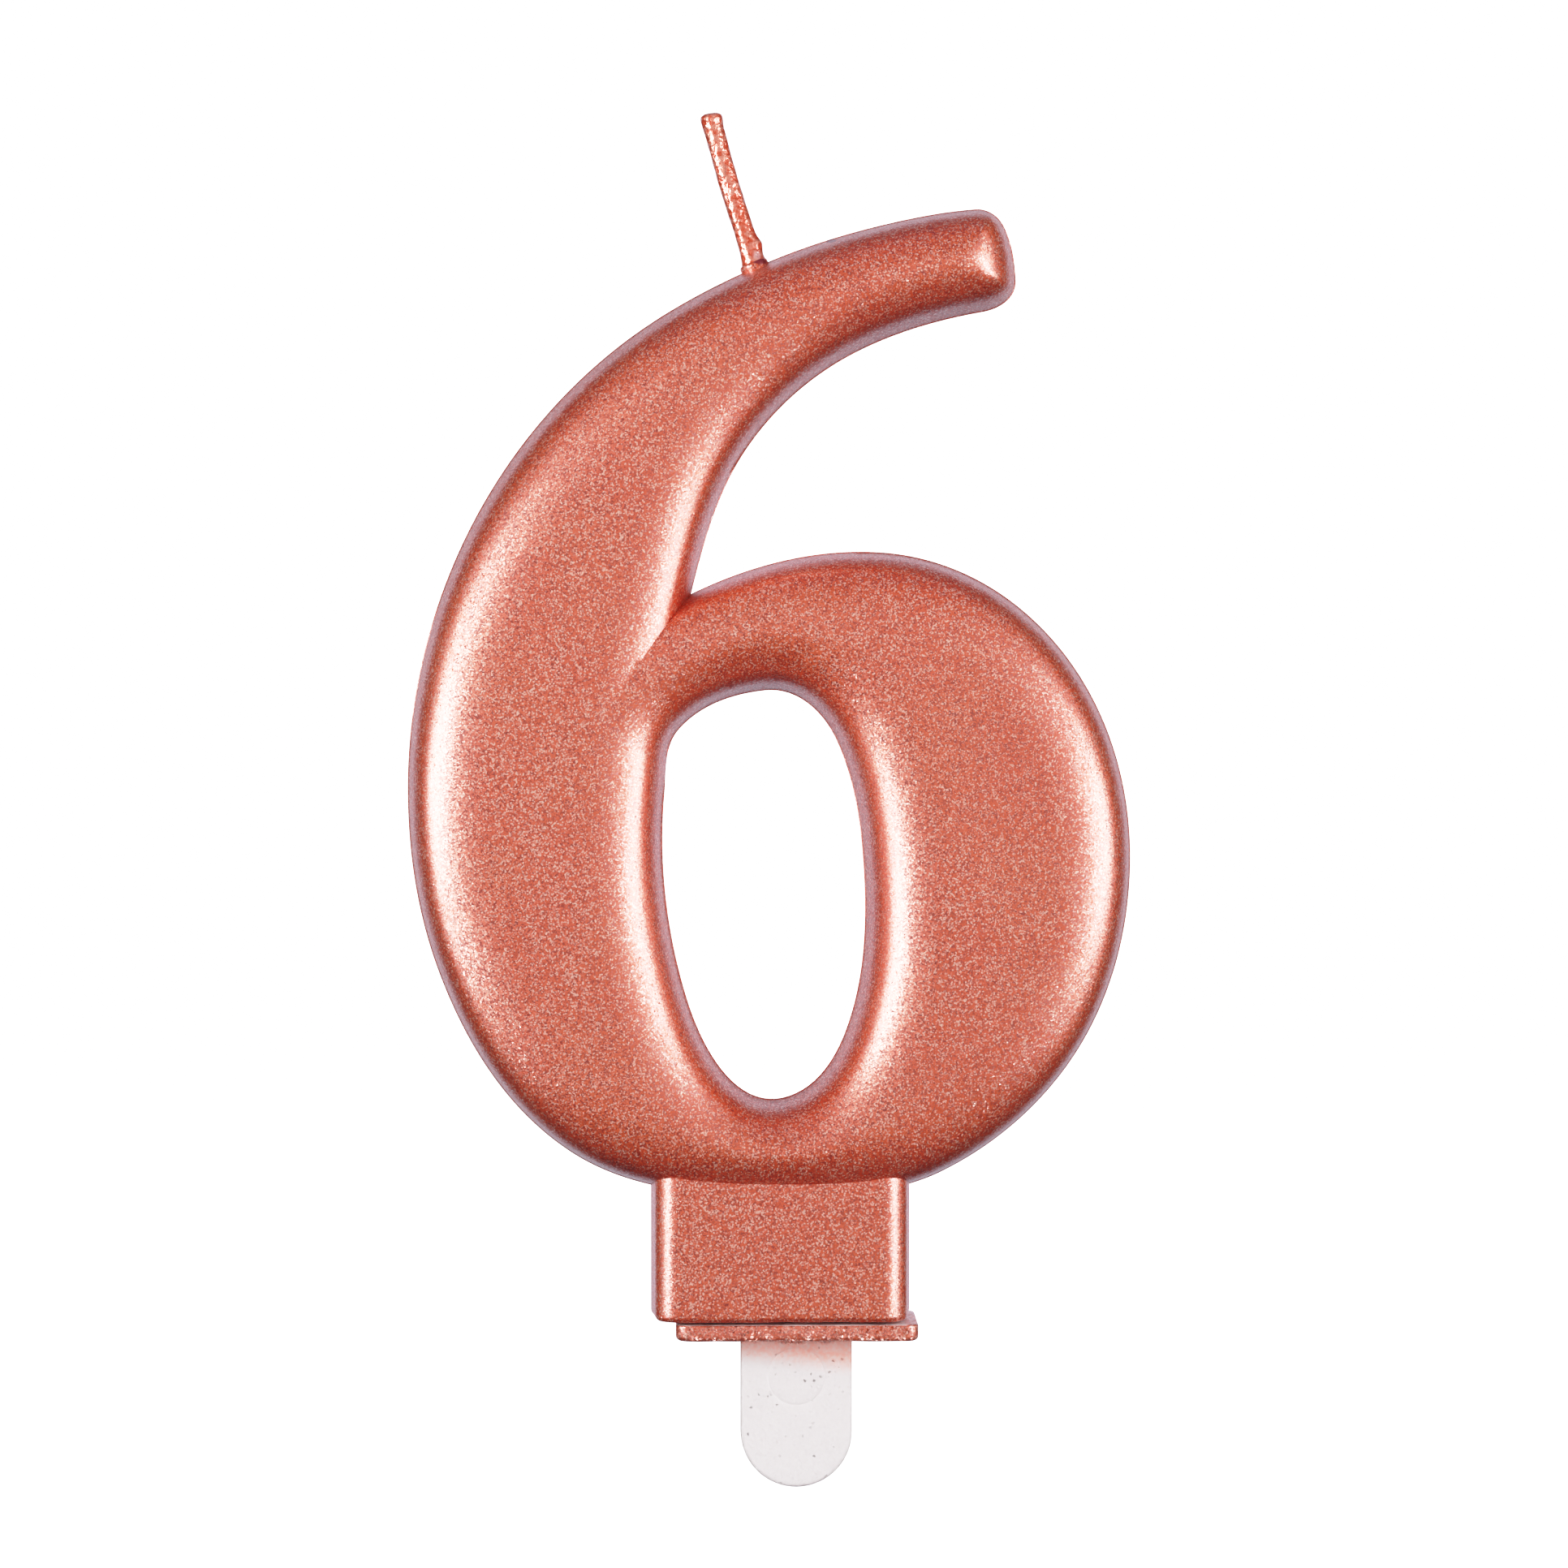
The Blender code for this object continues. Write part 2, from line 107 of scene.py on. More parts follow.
COUNTER = [
    (-2.1, 43.8, -174, 0.9),
    (-7.9, 41.2, -132, 0.85),
    (-8.9, 36.8, -95, 0.72),
    (-7.4, 23.0, -73, 0.72),
    (-0.4, 16.4, 20, 0.8),
    (3.5, 21.2, 71, 0.82),
    (4.6, 31.2, 93, 0.86),
    (2.7, 40.5, 115, 0.9),
    (-2.1, 43.8, -174, 0.9),
]
COUNTER_LEFT = COUNTER[2:5]
STEM_HIDDEN_SIDE = [(*NOTCH, -104, NOTCH_LEAN), COUNTER_LEFT[0]]
MERGE_KNOT = 2
BOWL_HIDDEN_SIDE = [OUTER_SIDE[MERGE_KNOT], (-17.3, 43.2, 52, 0.8), (*NOTCH, 26, NOTCH_LEAN)]

# Section of the wax: a hairline flash on the parting plane, a drafted wall, a shoulder whose slope falls
# evenly from the wall's to the crown's, then an elliptical crown. WALL_STRAIGHT is the share of the lean
# that the wall takes before the shoulder, and SHOULDER_SHARE the share of the crown that it takes.
FLASH_OUT = 0.06
FLASH_HALF = 0.09
WALL_HEIGHT = 3.6
CROWN_HEIGHT = 2.5
CROWN_WIDTH = 4.8
WALL_STRAIGHT = 0.47
WALL_SLOPE = math.radians(80)
SHOULDER_SHARE = 0.14
SHOULDER_SLOPE = math.radians(44)

# Rows of mesh points along the outline, as shares of the lean and of the crown's width. A moved point is
# kept where its distance from the edge is between LEAST_FOUND and MOST_FOUND, each a share and a margin,
# and where it is clear of the points of the other stroke.
WALL_SHARES = (0.02, 0.06, 0.09, 0.3, 0.55, 0.65, 0.75, 0.86, 0.98)
CROWN_SHARES = (0.02, 0.04, 0.06, 0.08, 0.1, 0.12, 0.16, 0.21)
CROWN_SHARES += (0.27, 0.33, 0.41, 0.5, 0.6, 0.71, 0.83, 0.96)
LEAST_FOUND = (0.985, -0.002)
MOST_FOUND = (1.01, 0.02)
CLEAR_SHARE = 0.3
MOST_CLEAR = 0.2
FILL_SPACING = 0.62
LONGEST_STEP = 0.5
WIDEST_TURN = 5.0

# The crease between stem and bowl is traced from the notch, each step tried at places to both sides.
VALLEY_HEADING = -129
VALLEY_STEP = 0.3
VALLEY_STEPS = 30
VALLEY_TRIES = 41

# Inside RIDGE_FROM a depth is the plain distance from the edge; beyond RIDGE_TO it is a mean over the
# whole edge, of this power, which leaves no ridge where two sides are equally near.
RIDGE_FROM = 1.2
RIDGE_TO = 2.8
RIDGE_POWER = 10
LEAN_POWER = 4
LEAST_SQUARE = 1e-6

# Slight waves that casting leaves in the front and the back.
WAVE = 0.09
WAVE_LENGTH = 9.0
WAVE_SEEDS = (0.3, 7.3)

# Foot block, and the socket in it for the pick's tang, which is cut from a little below the block.
FOOT_X = -1.08
FOOT_WIDTH = 17.5
FOOT_BOTTOM = 1.55
FOOT_TOP = 12.6
FOOT_FRONT = 4.6
FOOT_ROUND = 1.5
FOOT_DRAFT = 0.45
FOOT_BOTTOM_ROUND = 0.4
FOOT_INSETS = (3.5, 2.0, 1.0)
FOOT_ROW_SPACING = 0.5
FOOT_ROWS = 20
FOOT_WAVE = 0.06
WAX_SHARP_EDGE = 38
SOCKET_WIDTH = 6.6
SOCKET_DEPTH = 2.6
SOCKET_TOP = 9.9
SOCKET_BELOW = 1.0
SOCKET_ROUND = 0.3

# Wick: x, z, heading and 0 from where it leaves the wax to its tip, and the rod that the lacquered yarns
# make together. A lump stands out on its right near the root, and the cut tip is a little swollen.
WICK_ROUTE = [
    (-2.8, 72.4, 106, 0),
    (-4.4, 77.5, 107, 0),
    (-5.55, 81.6, 104, 0),
    (-5.74, 82.58, 97, 0),
]
WICK_STEP = 0.16
WICK_RADIUS = 0.69
WICK_GROOVE = 0.03
WICK_CREASE = 0.025
CREASES_ROUND = 2.4
CREASES_ALONG = 1.3
FINER_CREASES = 2.3
WICK_PITCH = 16.0
LUMP = 0.22
LUMP_RISE = 1.3
LUMP_LENGTH = 0.45
LUMP_TURN = 0.7
FLARE = 0.2
FLARE_LENGTH = 0.7
TIP_SWELL = 0.06
TIP_SWELL_FROM_TO = (1.2, 0.4)
TIP_ROUND = 0.3
TIP_FLAT_SHARE = 0.65
YARNS = 3
YARN_POINTS = 18
YARN_GAP = 0.02
YARN_CORE = 0.004
WICK_SHARP_EDGE = 60

# Collar: its section as radius and height, square to the arm's slope in degrees.
COLLAR_SLOPE = 22.5
COLLAR_PROFILE = [
    (0.88, -0.6),
    (0.98, -0.1),
    (0.98, 0.04),
    (0.95, 0.14),
    (0.88, 0.22),
    (0.8, 0.24),
    (0.72, 0.0),
]
COLLAR_TURNS = 40
COLLAR_SWELL = 0.1
COLLAR_SWELLS_ROUND = 1.5

# Pick: a rounded blade with a tab below, a barbed tang above and a flange between. Barb shares are of
# the barbs' pitch, and the ejector pin's mark is a groove along the middle one of its rings.
BLADE_THICKNESS = 1.8
BLADE_ROUND = 0.28
BLADE_LEVELS = (0.02, 0.06, 0.12, 0.2, 0.28)
BLADE_LEAST_FOUND = 0.97
BLADE_SPACING = 0.5
BLADE_EDGE_SPACING = 0.4
BLADE_EDGE_TOP = 0.2
BLADE_CLEAR = 0.15
TAB_WIDTH = 7.56
TAB_LENGTH = 10.1
TAB_TIP_STEP = 0.3
TANG_WIDTH = 4.8
TANG_TOP = 9.2
TANG_POINT = 1.2
BARB = 0.45
BARB_COUNT = 3
BARB_POINT_SHARE = 0.15
BARB_END_SHARE = 0.85
EJECTOR_Z = -2.58
EJECTOR_RINGS = (1.80, 1.86, 1.92, 1.98, 2.04)
EJECTOR_TURNS = 64
EJECTOR_GROOVE = 0.05
EJECTOR_GROOVE_REACH = 0.12
EJECTOR_CLEAR = 0.3
FLANGE_WIDTH = 16.3
FLANGE_DEPTH = 8.2
FLANGE_THICKNESS = 1.13
FLANGE_UNDER = 0.2
FLANGE_CORNER = 0.9
FLANGE_ROUND = 0.35
FLANGE_TOP_ROUND = 0.15
FLANGE_INSETS = (3.2, 1.5)
FLANGE_WAVE = 0.05
PICK_SHARP_EDGE = 40

# Foot block and flange: how their sides are divided, and the waves in their surface.
BLOCK_SIDES = 24
BLOCK_TURNS = 8
BLOCK_WAVE_LENGTH = 1.7
LEAST_CORNER = 0.02
ROUNDING_STEPS = 5
TOP_ROUNDING_STEPS = 3

# Camera: its place, and the aim's offset from the middle of the CAD part's box.
CAMERA_X = -7.3
CAMERA_Z = 47.7
CAMERA_DISTANCE = 350.0
AIM_OFFSET = (0.98, 0, 1.24)
SENSOR = 36.0
FRAME_WIDTH = 105.9
CLIP_START = 0.01

# Room that the lacquer reflects: its colours, and between which parts of a direction they blend.
ROOM_BELOW = (0.07, 0.06, 0.09, 1)
ROOM_ABOVE = (0.17, 0.18, 0.25, 1)
ROOM_AHEAD = (0.14, 0.09, 0.092, 1)
ROOM_BEHIND = (1.15, 1.28, 1.5, 1)
BEHIND_FROM_TO = (0.75, 0.93)
BELOW_FROM_TO = (-0.85, -0.45)
ABOVE_FROM_TO = (0.55, 0.95)
BACKDROP = 2.2

# Name, place from the middle of the CAD part's box, width and height, power in watts, and whether it
# lights by reflection or by scattering. The side lamps make the highlights and the others the base tone.
LIGHTS = [
    ("left", (-535, -335, 0), (300, 320), 3.6, "glossy"),
    ("right", (545, -325, 0), (300, 320), 2.75, "glossy"),
    ("front", (0, -855, 140), (1100, 900), 9.0, "diffuse"),
    ("left_fill", (-750, -420, 130), (600, 600), 4.0, "diffuse"),
    ("right_fill", (750, -420, 130), (600, 600), 4.0, "diffuse"),
]

# What the camera makes of each brightness.
FILM_CURVE = [
    (0, 0),
    (0.06, 0.03),
    (0.15, 0.115),
    (0.4, 0.365),
    (0.7, 0.665),
    (0.86, 0.765),
    (1.1, 0.87),
    (1.5, 0.97),
    (2.0, 1.0),
]

FLOOR_GAP = 0.2
FLOOR_RADIUS = 600.0
FLOOR_SIDES = 96
FLOOR_FADE_FROM = 0.25
FLOOR_WHITE = (0.93, 0.93, 0.94, 1)
FLOOR_ROUGHNESS = 0.9
FLOOR_GLOW = 2.2

# Lacquer: flakes of a base colour, some darker and some paler, under a clear coat. A flake darkens or
# pales as its random number, from 0 to 1, passes from the first to the second of a pair. Nearly all of
# a noise pattern lies between the two of NOISE_FROM_TO.
PATCH_SIZE = 7.0
PATCH_DETAIL = 3.0
PATCH_FROM_TO = (0.35, 0.65)
NOISE_FROM_TO = (0.3, 0.7)
COPPER = ((0.845, 0.1, 0.005, 1), (0.86, 0.12, 0.012, 1))
FLAKE = 0.09
DARK_FLAKE = (0.42, 0.03, 0.01, 1)
DARK_FLAKE_FROM_TO = (0.4, 1.0)
PALE_FLAKE = (1.0, 0.55, 0.43, 1)
PALE_FLAKE_FROM_TO = (0.68, 0.92)
FLAKE_TILT = 0.16
RARE_FLAKE_TILT = 0.4
RARE_FLAKES = 0.04
BASE_METAL = 0.5
BASE_ROUGHNESS = 0.52
ROUGHNESS_PATCH = 0.35
ROUGHNESS_SPREAD = (-0.05, 0.06)
SPECULAR_TINT = (0.95, 0.86, 1.0, 1)
COAT_IOR = 3.0
COAT_ROUGHNESS = 0.4

# Centre of each spot of painted shade in metres and 1 / its reach along each axis: shade painted into the
# lacquer's colour in a pit on the arm, and in the crevice to the right of the wick's root.
PAINTED_SHADE_SPOTS = [
    ((0.00236, 0, 0.07402), (2600, 0, 4500)),
    ((-0.0024, -0.0009, 0.07262), (1600, 1200, 4500)),
]
# The painted shade's deep maroon, and the scaled distances over which it fades out into the lacquer.
PAINTED_SHADE_COLOUR = (0.36, 0.013, 0.02, 1)
PAINTED_SHADE_FROM_TO = (0.6, 1.0)

# Lacquer on the wick: wrinkled, and rubbed off round one spot, given in metres. Its colour is painted
# shade and light:
# deeper copper in the wrinkles' hollows and paler on their crests.
WRINKLE_SIZE = 0.38
WRINKLE_DETAIL = 1.5
WRINKLE_HEIGHT = 0.13
WRINKLE_FROM_TO = (0.4, 0.6)
WRINKLE_PAINTED_SHADE_AND_LIGHT = ((0.84, 0.12, 0.045, 1), (0.93, 0.34, 0.24, 1))
WICK_ROUGHNESS = 0.4
WICK_COAT_IOR = 2.4
WICK_COAT_ROUGHNESS = 0.28
BARE_SPOT = (-0.00262, -0.0007, 0.07305)
BARE_FROM_TO = (0.1, 0.45)
BARE_SHARE = 0.8
BARE_WAX = (0.68, 0.42, 0.42, 1)

# Cotton of the yarns inside the wax.
STRAND_SIZE = 0.12
STRAND_DETAIL = 3.0
STRAND_HEIGHT = 0.05
STRAND_BUMP = 0.5
COTTON = ((0.78, 0.74, 0.66, 1), (0.9, 0.88, 0.83, 1))
COTTON_ROUGHNESS = 0.85

# Plastic of the pick: heights between which the lacquer's ragged edge and its mist thin out, and how
# near the foot block's side and the flange's top the spray stopped. The last pairs say how much cover
# starts and completes the metal, the coat and the glitter.
RAGGED_SIZE = 1.6
RAGGED_DETAIL = 4.0
RAGGED_REACH = 1.6
SPRAY_FROM_TO = (0.4, 0.78)
SPRAY_SHARE = 0.9
MIST_FROM_TO = (-2.3, -0.6)
MIST_SHARE = 0.72
MIST_SLANT = 0.12
MIST_SPECK = 0.3
MIST_SPECK_SHARES = (0.7, 1.2)
FOOT_SIDE_FROM_TO = (-0.5, -0.1)
FLANGE_TOP_FROM_TO = (-0.06, -0.01)
PLASTIC = ((0.78, 0.75, 0.755, 1), (0.82, 0.785, 0.79, 1))
PLASTIC_PATCH = 2.0
PLASTIC_ROUGHNESS = 0.42
MIST = (0.93, 0.43, 0.34, 1)
METAL_FROM_TO = (0.5, 1.0)
COATED_FROM_TO = (0.2, 0.8)
GLITTER_FROM_TO = (0.3, 0.8)
PICK_FLAKE = 0.15
PICK_FLAKE_TILT = 0.25
PICK_RARE_TILT = 1.5
PICK_RARE_FLAKES = (0.02, 0.3)


# ---- plane curves and distances


def handle_ratio(leaving, arriving):
    """Hobby's rule: a Bezier handle's length over the chord, from the angles at its two ends."""
    ripple = math.sqrt(2) * (math.sin(leaving) - math.sin(arriving) / 16)
    ripple *= math.sin(arriving) - math.sin(leaving) / 16
    ripple *= math.cos(leaving) - math.cos(arriving)
    golden = math.sqrt(5)
    spread = 1 + 0.5 * (golden - 1) * math.cos(leaving) + 0.5 * (3 - golden) * math.cos(arriving)
    return (2 + ripple) / (3 * spread)


def turn_between(first, second):
    """The signed turn from one heading to another, in radians."""
    return math.radians((second - first + 180) % 360 - 180)


def curve_between(start, end, longest):
    """Points from one knot up to the next, with what the knots carry after their heading."""
    first = np.array(start[:2])
    last = np.array(end[:2])
    chord = last - first
    length = math.hypot(*chord)
    bearing = math.degrees(math.atan2(chord[1], chord[0]))
    leaving = turn_between(bearing, start[2])
    arriving = turn_between(end[2], bearing)
    out = np.array([math.cos(math.radians(start[2])), math.sin(math.radians(start[2]))])
    into = np.array([math.cos(math.radians(end[2])), math.sin(math.radians(end[2]))])
    second = first + out * length * handle_ratio(leaving, arriving)
    third = last - into * length * handle_ratio(arriving, leaving)
    turned = math.degrees(abs(leaving) + abs(arriving))
    count = math.ceil(max(length / longest, turned / WIDEST_TURN))
    t = (np.arange(count) / count)[:, None]
    u = 1 - t
    places = u**3 * first + 3 * u**2 * t * second + 3 * u * t**2 * third + t**3 * last
    return np.column_stack([places, start[3] + (end[3] - start[3]) * t])


def curve_through(knots, longest=LONGEST_STEP):
    stretches = [curve_between(a, b, longest) for a, b in zip(knots, knots[1:])]
    return np.concatenate([*stretches, [knots[-1][:2] + knots[-1][3:]]])


def joined(*curves):
    """Curves laid end to end, each without its last point."""
    return np.concatenate([curve[:-1] for curve in curves])


def depth_inside(points, loops):
    """Each point's distance from the loops' edges, and 0 outside them."""
    loops = [loop[:, :2] for loop in loops]
    starts = np.concatenate(loops)
    sides = np.concatenate([np.roll(loop, -1, axis=0) for loop in loops]) - starts
    lengths = (sides**2).sum(axis=1)
    depths = []
    for batch in np.array_split(points, max(1, len(points) // BATCH)):
        across = batch[:, None, 0] - starts[:, 0]
        up = batch[:, None, 1] - starts[:, 1]
        share = np.clip((across * sides[:, 0] + up * sides[:, 1]) / lengths, 0, 1)
        nearest = (across - share * sides[:, 0]) ** 2 + (up - share * sides[:, 1]) ** 2
        nearest = np.sqrt(nearest.min(axis=1))
        spans = (up > 0) != (up > sides[:, 1])
        rise = np.where(sides[:, 1] == 0, 1, sides[:, 1])
        crossings = (spans & (across < up * sides[:, 0] / rise)).sum(axis=1)
        depths.append(np.where((crossings % 2 == 1) | (nearest < ON_EDGE), nearest, 0))
    return np.concatenate(depths)


def smooth_step(low, high, values):
    share = np.clip((values - low) / (high - low), 0, 1)
    return share * share * (3 - 2 * share)


def mean_over_edges(points, loops, power):
    """For each point, length / distance**power summed over the loops' sides, and that times their lean."""
    starts = np.concatenate(loops)
    ends = np.concatenate([np.roll(loop, -1, axis=0) for loop in loops])
    middles = (starts + ends) / 2
    lengths = np.hypot(*(ends - starts)[:, :2].T)
    totals = []
    leans = []
    for batch in np.array_split(points, max(1, len(points) // BATCH)):
        squares = (batch[:, None, 0] - middles[:, 0]) ** 2 + (batch[:, None, 1] - middles[:, 1]) ** 2
        weights = lengths * (squares + LEAST_SQUARE) ** (-power / 2)
        totals.append(weights.sum(axis=1))
        leans.append(weights @ middles[:, 2])
    return np.concatenate(totals), np.concatenate(leans)


def stroke_depth(points, loops):
    """Distance inwards from a stroke's edges, smooth where two of them are equally near."""
    exact = depth_inside(points, loops)
    straight = math.sqrt(math.pi) * math.gamma((RIDGE_POWER - 1) / 2) / math.gamma(RIDGE_POWER / 2)
    total, _ = mean_over_edges(points, loops, RIDGE_POWER)
    smooth = (total / straight) ** (-1 / (RIDGE_POWER - 1))
    return exact + smooth_step(RIDGE_FROM, RIDGE_TO, exact) * (smooth - exact)


# ---- numeral


def numeral_loops():
    """The outline with its counter, and the two strokes that overlap: the stem and the bowl's ring."""
    outer = curve_through(OUTER_SIDE)
    bowl = curve_through(BOWL_SIDE)
    counter = curve_through(COUNTER)[:-1]
    left_of_counter = curve_through(COUNTER_LEFT)
    across_bottom = np.array([left_of_counter[-1], (*BOTTOM, BOTTOM_LEAN)])
    stem = joined(outer, curve_through(STEM_HIDDEN_SIDE), left_of_counter, across_bottom)
    ring = joined(bowl, curve_through(OUTER_SIDE[: MERGE_KNOT + 1]), curve_through(BOWL_HIDDEN_SIDE))
    return [joined(outer, bowl), counter], [stem], [ring, counter]


def half_depth(distance, lean):
    """How far the wax stands out from the parting plane, at a distance in from the outline."""
    flash = FLASH_HALF * np.sqrt(1 - (1 - np.clip(distance / FLASH_OUT, 0, 1)) ** 2)
    bend_from = WALL_STRAIGHT * lean
    bend_width = lean + SHOULDER_SHARE * CROWN_WIDTH - bend_from
    wall = math.tan(WALL_SLOPE) * np.clip(distance - FLASH_OUT, 0, bend_from - FLASH_OUT)
    bent = np.clip((distance - bend_from) / bend_width, 0, 1)
    slope = WALL_SLOPE + bent * (SHOULDER_SLOPE - WALL_SLOPE)
    flattening = bend_width / (WALL_SLOPE - SHOULDER_SLOPE)
    side = wall + flattening * np.log(np.cos(slope) / math.cos(WALL_SLOPE))
    whole_wall = math.tan(WALL_SLOPE) * (bend_from - FLASH_OUT)
    whole_side = whole_wall + flattening * math.log(math.cos(SHOULDER_SLOPE) / math.cos(WALL_SLOPE))
    shoulder = math.sqrt(1 - (1 - SHOULDER_SHARE) ** 2)
    side *= (WALL_HEIGHT - FLASH_HALF + CROWN_HEIGHT * shoulder) / whole_side
    share = np.clip((distance - lean) / CROWN_WIDTH, SHOULDER_SHARE, 1)
    return flash + side + CROWN_HEIGHT * (np.sqrt(1 - (1 - share) ** 2) - shoulder)


def beside(loop, levels):
    """The loop's points moved by the levels to the right, and to the left."""
    loop = loop[:, :2]
    ahead = np.roll(loop, -1, axis=0) - np.roll(loop, 1, axis=0)
    ahead /= np.linalg.norm(ahead, axis=1, keepdims=True)
    aside = np.reshape(levels, (-1, 1)) * np.column_stack([ahead[:, 1], -ahead[:, 0]])
    return loop + aside, loop - aside


def kd_distances(known, asked):
    """How far each asked point is from the nearest known one."""
    known = np.concatenate([*known, [FAR_AWAY]])
    tree = KDTree(len(known))
    for i, point in enumerate(known):
        tree.insert((*point, 0), i)
    tree.balance()
    return np.array([tree.find((*point, 0))[2] for point in asked])


def lean_near(outlines, corners):
    """The wall's lean, as the nearest parts of the outline have it."""
    total, lean = mean_over_edges(corners, outlines, LEAN_POWER)
    return lean / total


def valley_between(stem, ring):
    """The crease from the notch inwards, where the stem's crown and the bowl's are equally high."""
    points = [np.array(NOTCH)]
    heading = math.radians(VALLEY_HEADING)
    across = np.linspace(-VALLEY_STEP, VALLEY_STEP, VALLEY_TRIES)[:, None]
    for _ in range(VALLEY_STEPS):
        ahead = np.array([math.cos(heading), math.sin(heading)])
        tried = points[-1] + VALLEY_STEP * ahead + across * np.array([-ahead[1], ahead[0]])
        lead = stroke_depth(tried, stem) - stroke_depth(tried, ring)
        i = np.flatnonzero(lead[:-1] * lead[1:] < 0)[0]
        points.append(tried[i] + (tried[i + 1] - tried[i]) * lead[i] / (lead[i] - lead[i + 1]))
        heading = math.atan2(*(points[-1] - points[-2])[::-1])
    return np.array(points[1:])


def edges_round(first, count):
    return [(first + i, first + (i + 1) % count) for i in range(count)]


def edges_between(first, kept):
    """Edges along a loop's points, numbered from first, of which only some are kept."""
    places = first + np.cumsum(kept) - 1
    follows = kept & np.roll(kept, -1)
    return [(int(places[i]), int(places[(i + 1) % len(kept)])) for i in np.flatnonzero(follows)]


def triangles_over(points, edges, loops):
    """Corners and triangles that fill the loops, through the points and along the edges."""
    flat = [Vector(point) for point in np.concatenate(points)]
    corners, _, triangles, _, _, _ = delaunay_2d_cdt(flat, edges, [], 0, MERGE_DISTANCE)
    corners = np.array([tuple(corner) for corner in corners])
    triangles = np.array(triangles)
    return corners, triangles[depth_inside(corners[triangles].mean(axis=1), loops) > 0]


def numeral_triangles():
    """Corners in the parting plane, their distance from the edge, the lean there, and the triangles."""
    outlines, stem, ring = numeral_loops()

    def distance_at(points):
        in_strokes = np.maximum(depth_inside(points, stem), depth_inside(points, ring))
        return np.minimum(in_strokes, depth_inside(points, outlines))

    points = [np.concatenate(outlines)[:, :2]]
    edges = []
    first = 0
    for loop in outlines:
        edges += edges_round(first, len(loop))
        first += len(loop)
    for loop in stem + ring:
        levels = [share * loop[:, 2] for share in WALL_SHARES]
        levels += [loop[:, 2] + share * CROWN_WIDTH for share in CROWN_SHARES]
        sides = [np.concatenate(moved) for moved in zip(*[beside(loop, level) for level in levels])]
        levels = np.array(levels)
        found = [distance_at(side).reshape(levels.shape) for side in sides]
        inner = int(found[1].sum() > found[0].sum())
        kept = found[inner] > LEAST_FOUND[0] * levels + LEAST_FOUND[1]
        kept &= found[inner] < MOST_FOUND[0] * levels + MOST_FOUND[1]
        near_other = kd_distances(points[1:], sides[inner]).reshape(levels.shape)
        kept &= near_other > np.minimum(CLEAR_SHARE * levels, MOST_CLEAR)
        added = []
        for row, points_there in zip(kept, sides[inner].reshape(*levels.shape, 2)):
            edges += edges_between(first, row)
            added.append(points_there[row])
            first += int(row.sum())
        points += added
    crease = valley_between(stem, ring)
    edges += [(first + i, first + i + 1) for i in range(len(crease) - 1)]
    points.append(crease)
    low, high = points[0].min(axis=0), points[0].max(axis=0)
    columns = np.arange(low[0], high[0], FILL_SPACING)
    rows = np.arange(low[1], high[1], FILL_SPACING * math.sqrt(0.75))
    grid = np.array([(x + FILL_SPACING / 2 * (i % 2), z) for i, z in enumerate(rows) for x in columns])
    points.append(grid[distance_at(grid) > levels.max() + FILL_SPACING / 3])
    corners, triangles = triangles_over(points, edges, outlines)
    distance = np.maximum(stroke_depth(corners, stem), stroke_depth(corners, ring))
    distance[depth_inside(corners, outlines) < RIM_TOLERANCE] = 0
    return corners, distance, lean_near(outlines, corners), triangles


def unevenness(corners, seed):
    """The slight waves that casting leaves in the wax."""
    spots = [Vector((x / WAVE_LENGTH, z / WAVE_LENGTH, seed)) for x, z in corners]
    return np.array([noise.noise(spot) for spot in spots])


def new_piece(name, points, faces, material):
    mesh = bpy.data.meshes.new(name)
    mesh.from_pydata([tuple(MM * float(v) for v in point) for point in points], [], faces)
    mesh.materials.append(material)
    piece = bpy.data.objects.new(name, mesh)
    bpy.context.scene.collection.objects.link(piece)
    return piece


def relief(name, corners, triangles, front, back, rim, material):
    """A body whose front and back stand off the plane Y = 0, meeting where rim is true."""
    behind = np.where(rim, np.arange(len(corners)), len(corners) + np.cumsum(~rim) - 1)
    points = np.column_stack([corners[:, 0], -front, corners[:, 1]])
    points = np.concatenate([points, np.column_stack([corners[:, 0], back, corners[:, 1]])[~rim]])
    faces = np.concatenate([triangles, behind[triangles[:, ::-1]]])
    return new_piece(name, points, faces.tolist(), material)


def loft(name, rings, material):
    """A closed body through rings of points, each turning left as seen from the far end."""
    count = len(rings[0])
    points = [point for ring in rings for point in ring]
    faces = [list(range(count))[::-1]]
    for level in range(len(rings) - 1):
        for i in range(count):
            here = level * count + i
            beside_it = level * count + (i + 1) % count
            faces.append([here, beside_it, beside_it + count, here + count])
    faces.append(list(range((len(rings) - 1) * count, len(rings) * count)))
    return new_piece(name, points, faces, material)


def rounded_plan(half_width, half_length, radius):
    """Points round a rectangle with round corners, the same number for every size."""
    points = []
    for quarter in range(4):
        across = half_width - radius if quarter in (0, 3) else radius - half_width
        along = half_length - radius if quarter in (0, 1) else radius - half_length
        for i in range(BLOCK_TURNS + 1):
            angle = math.pi / 2 * (quarter + i / BLOCK_TURNS)
            corner = (across + radius * math.cos(angle), along + radius * math.sin(angle))
            points.append(np.array(corner))
    dense = []
    for i, point in enumerate(points):
        dense.append(point)
        if (i + 1) % (BLOCK_TURNS + 1) == 0:
            following = points[(i + 1) % len(points)]
            dense += [point + (following - point) * j / BLOCK_SIDES for j in range(1, BLOCK_SIDES)]
    return dense


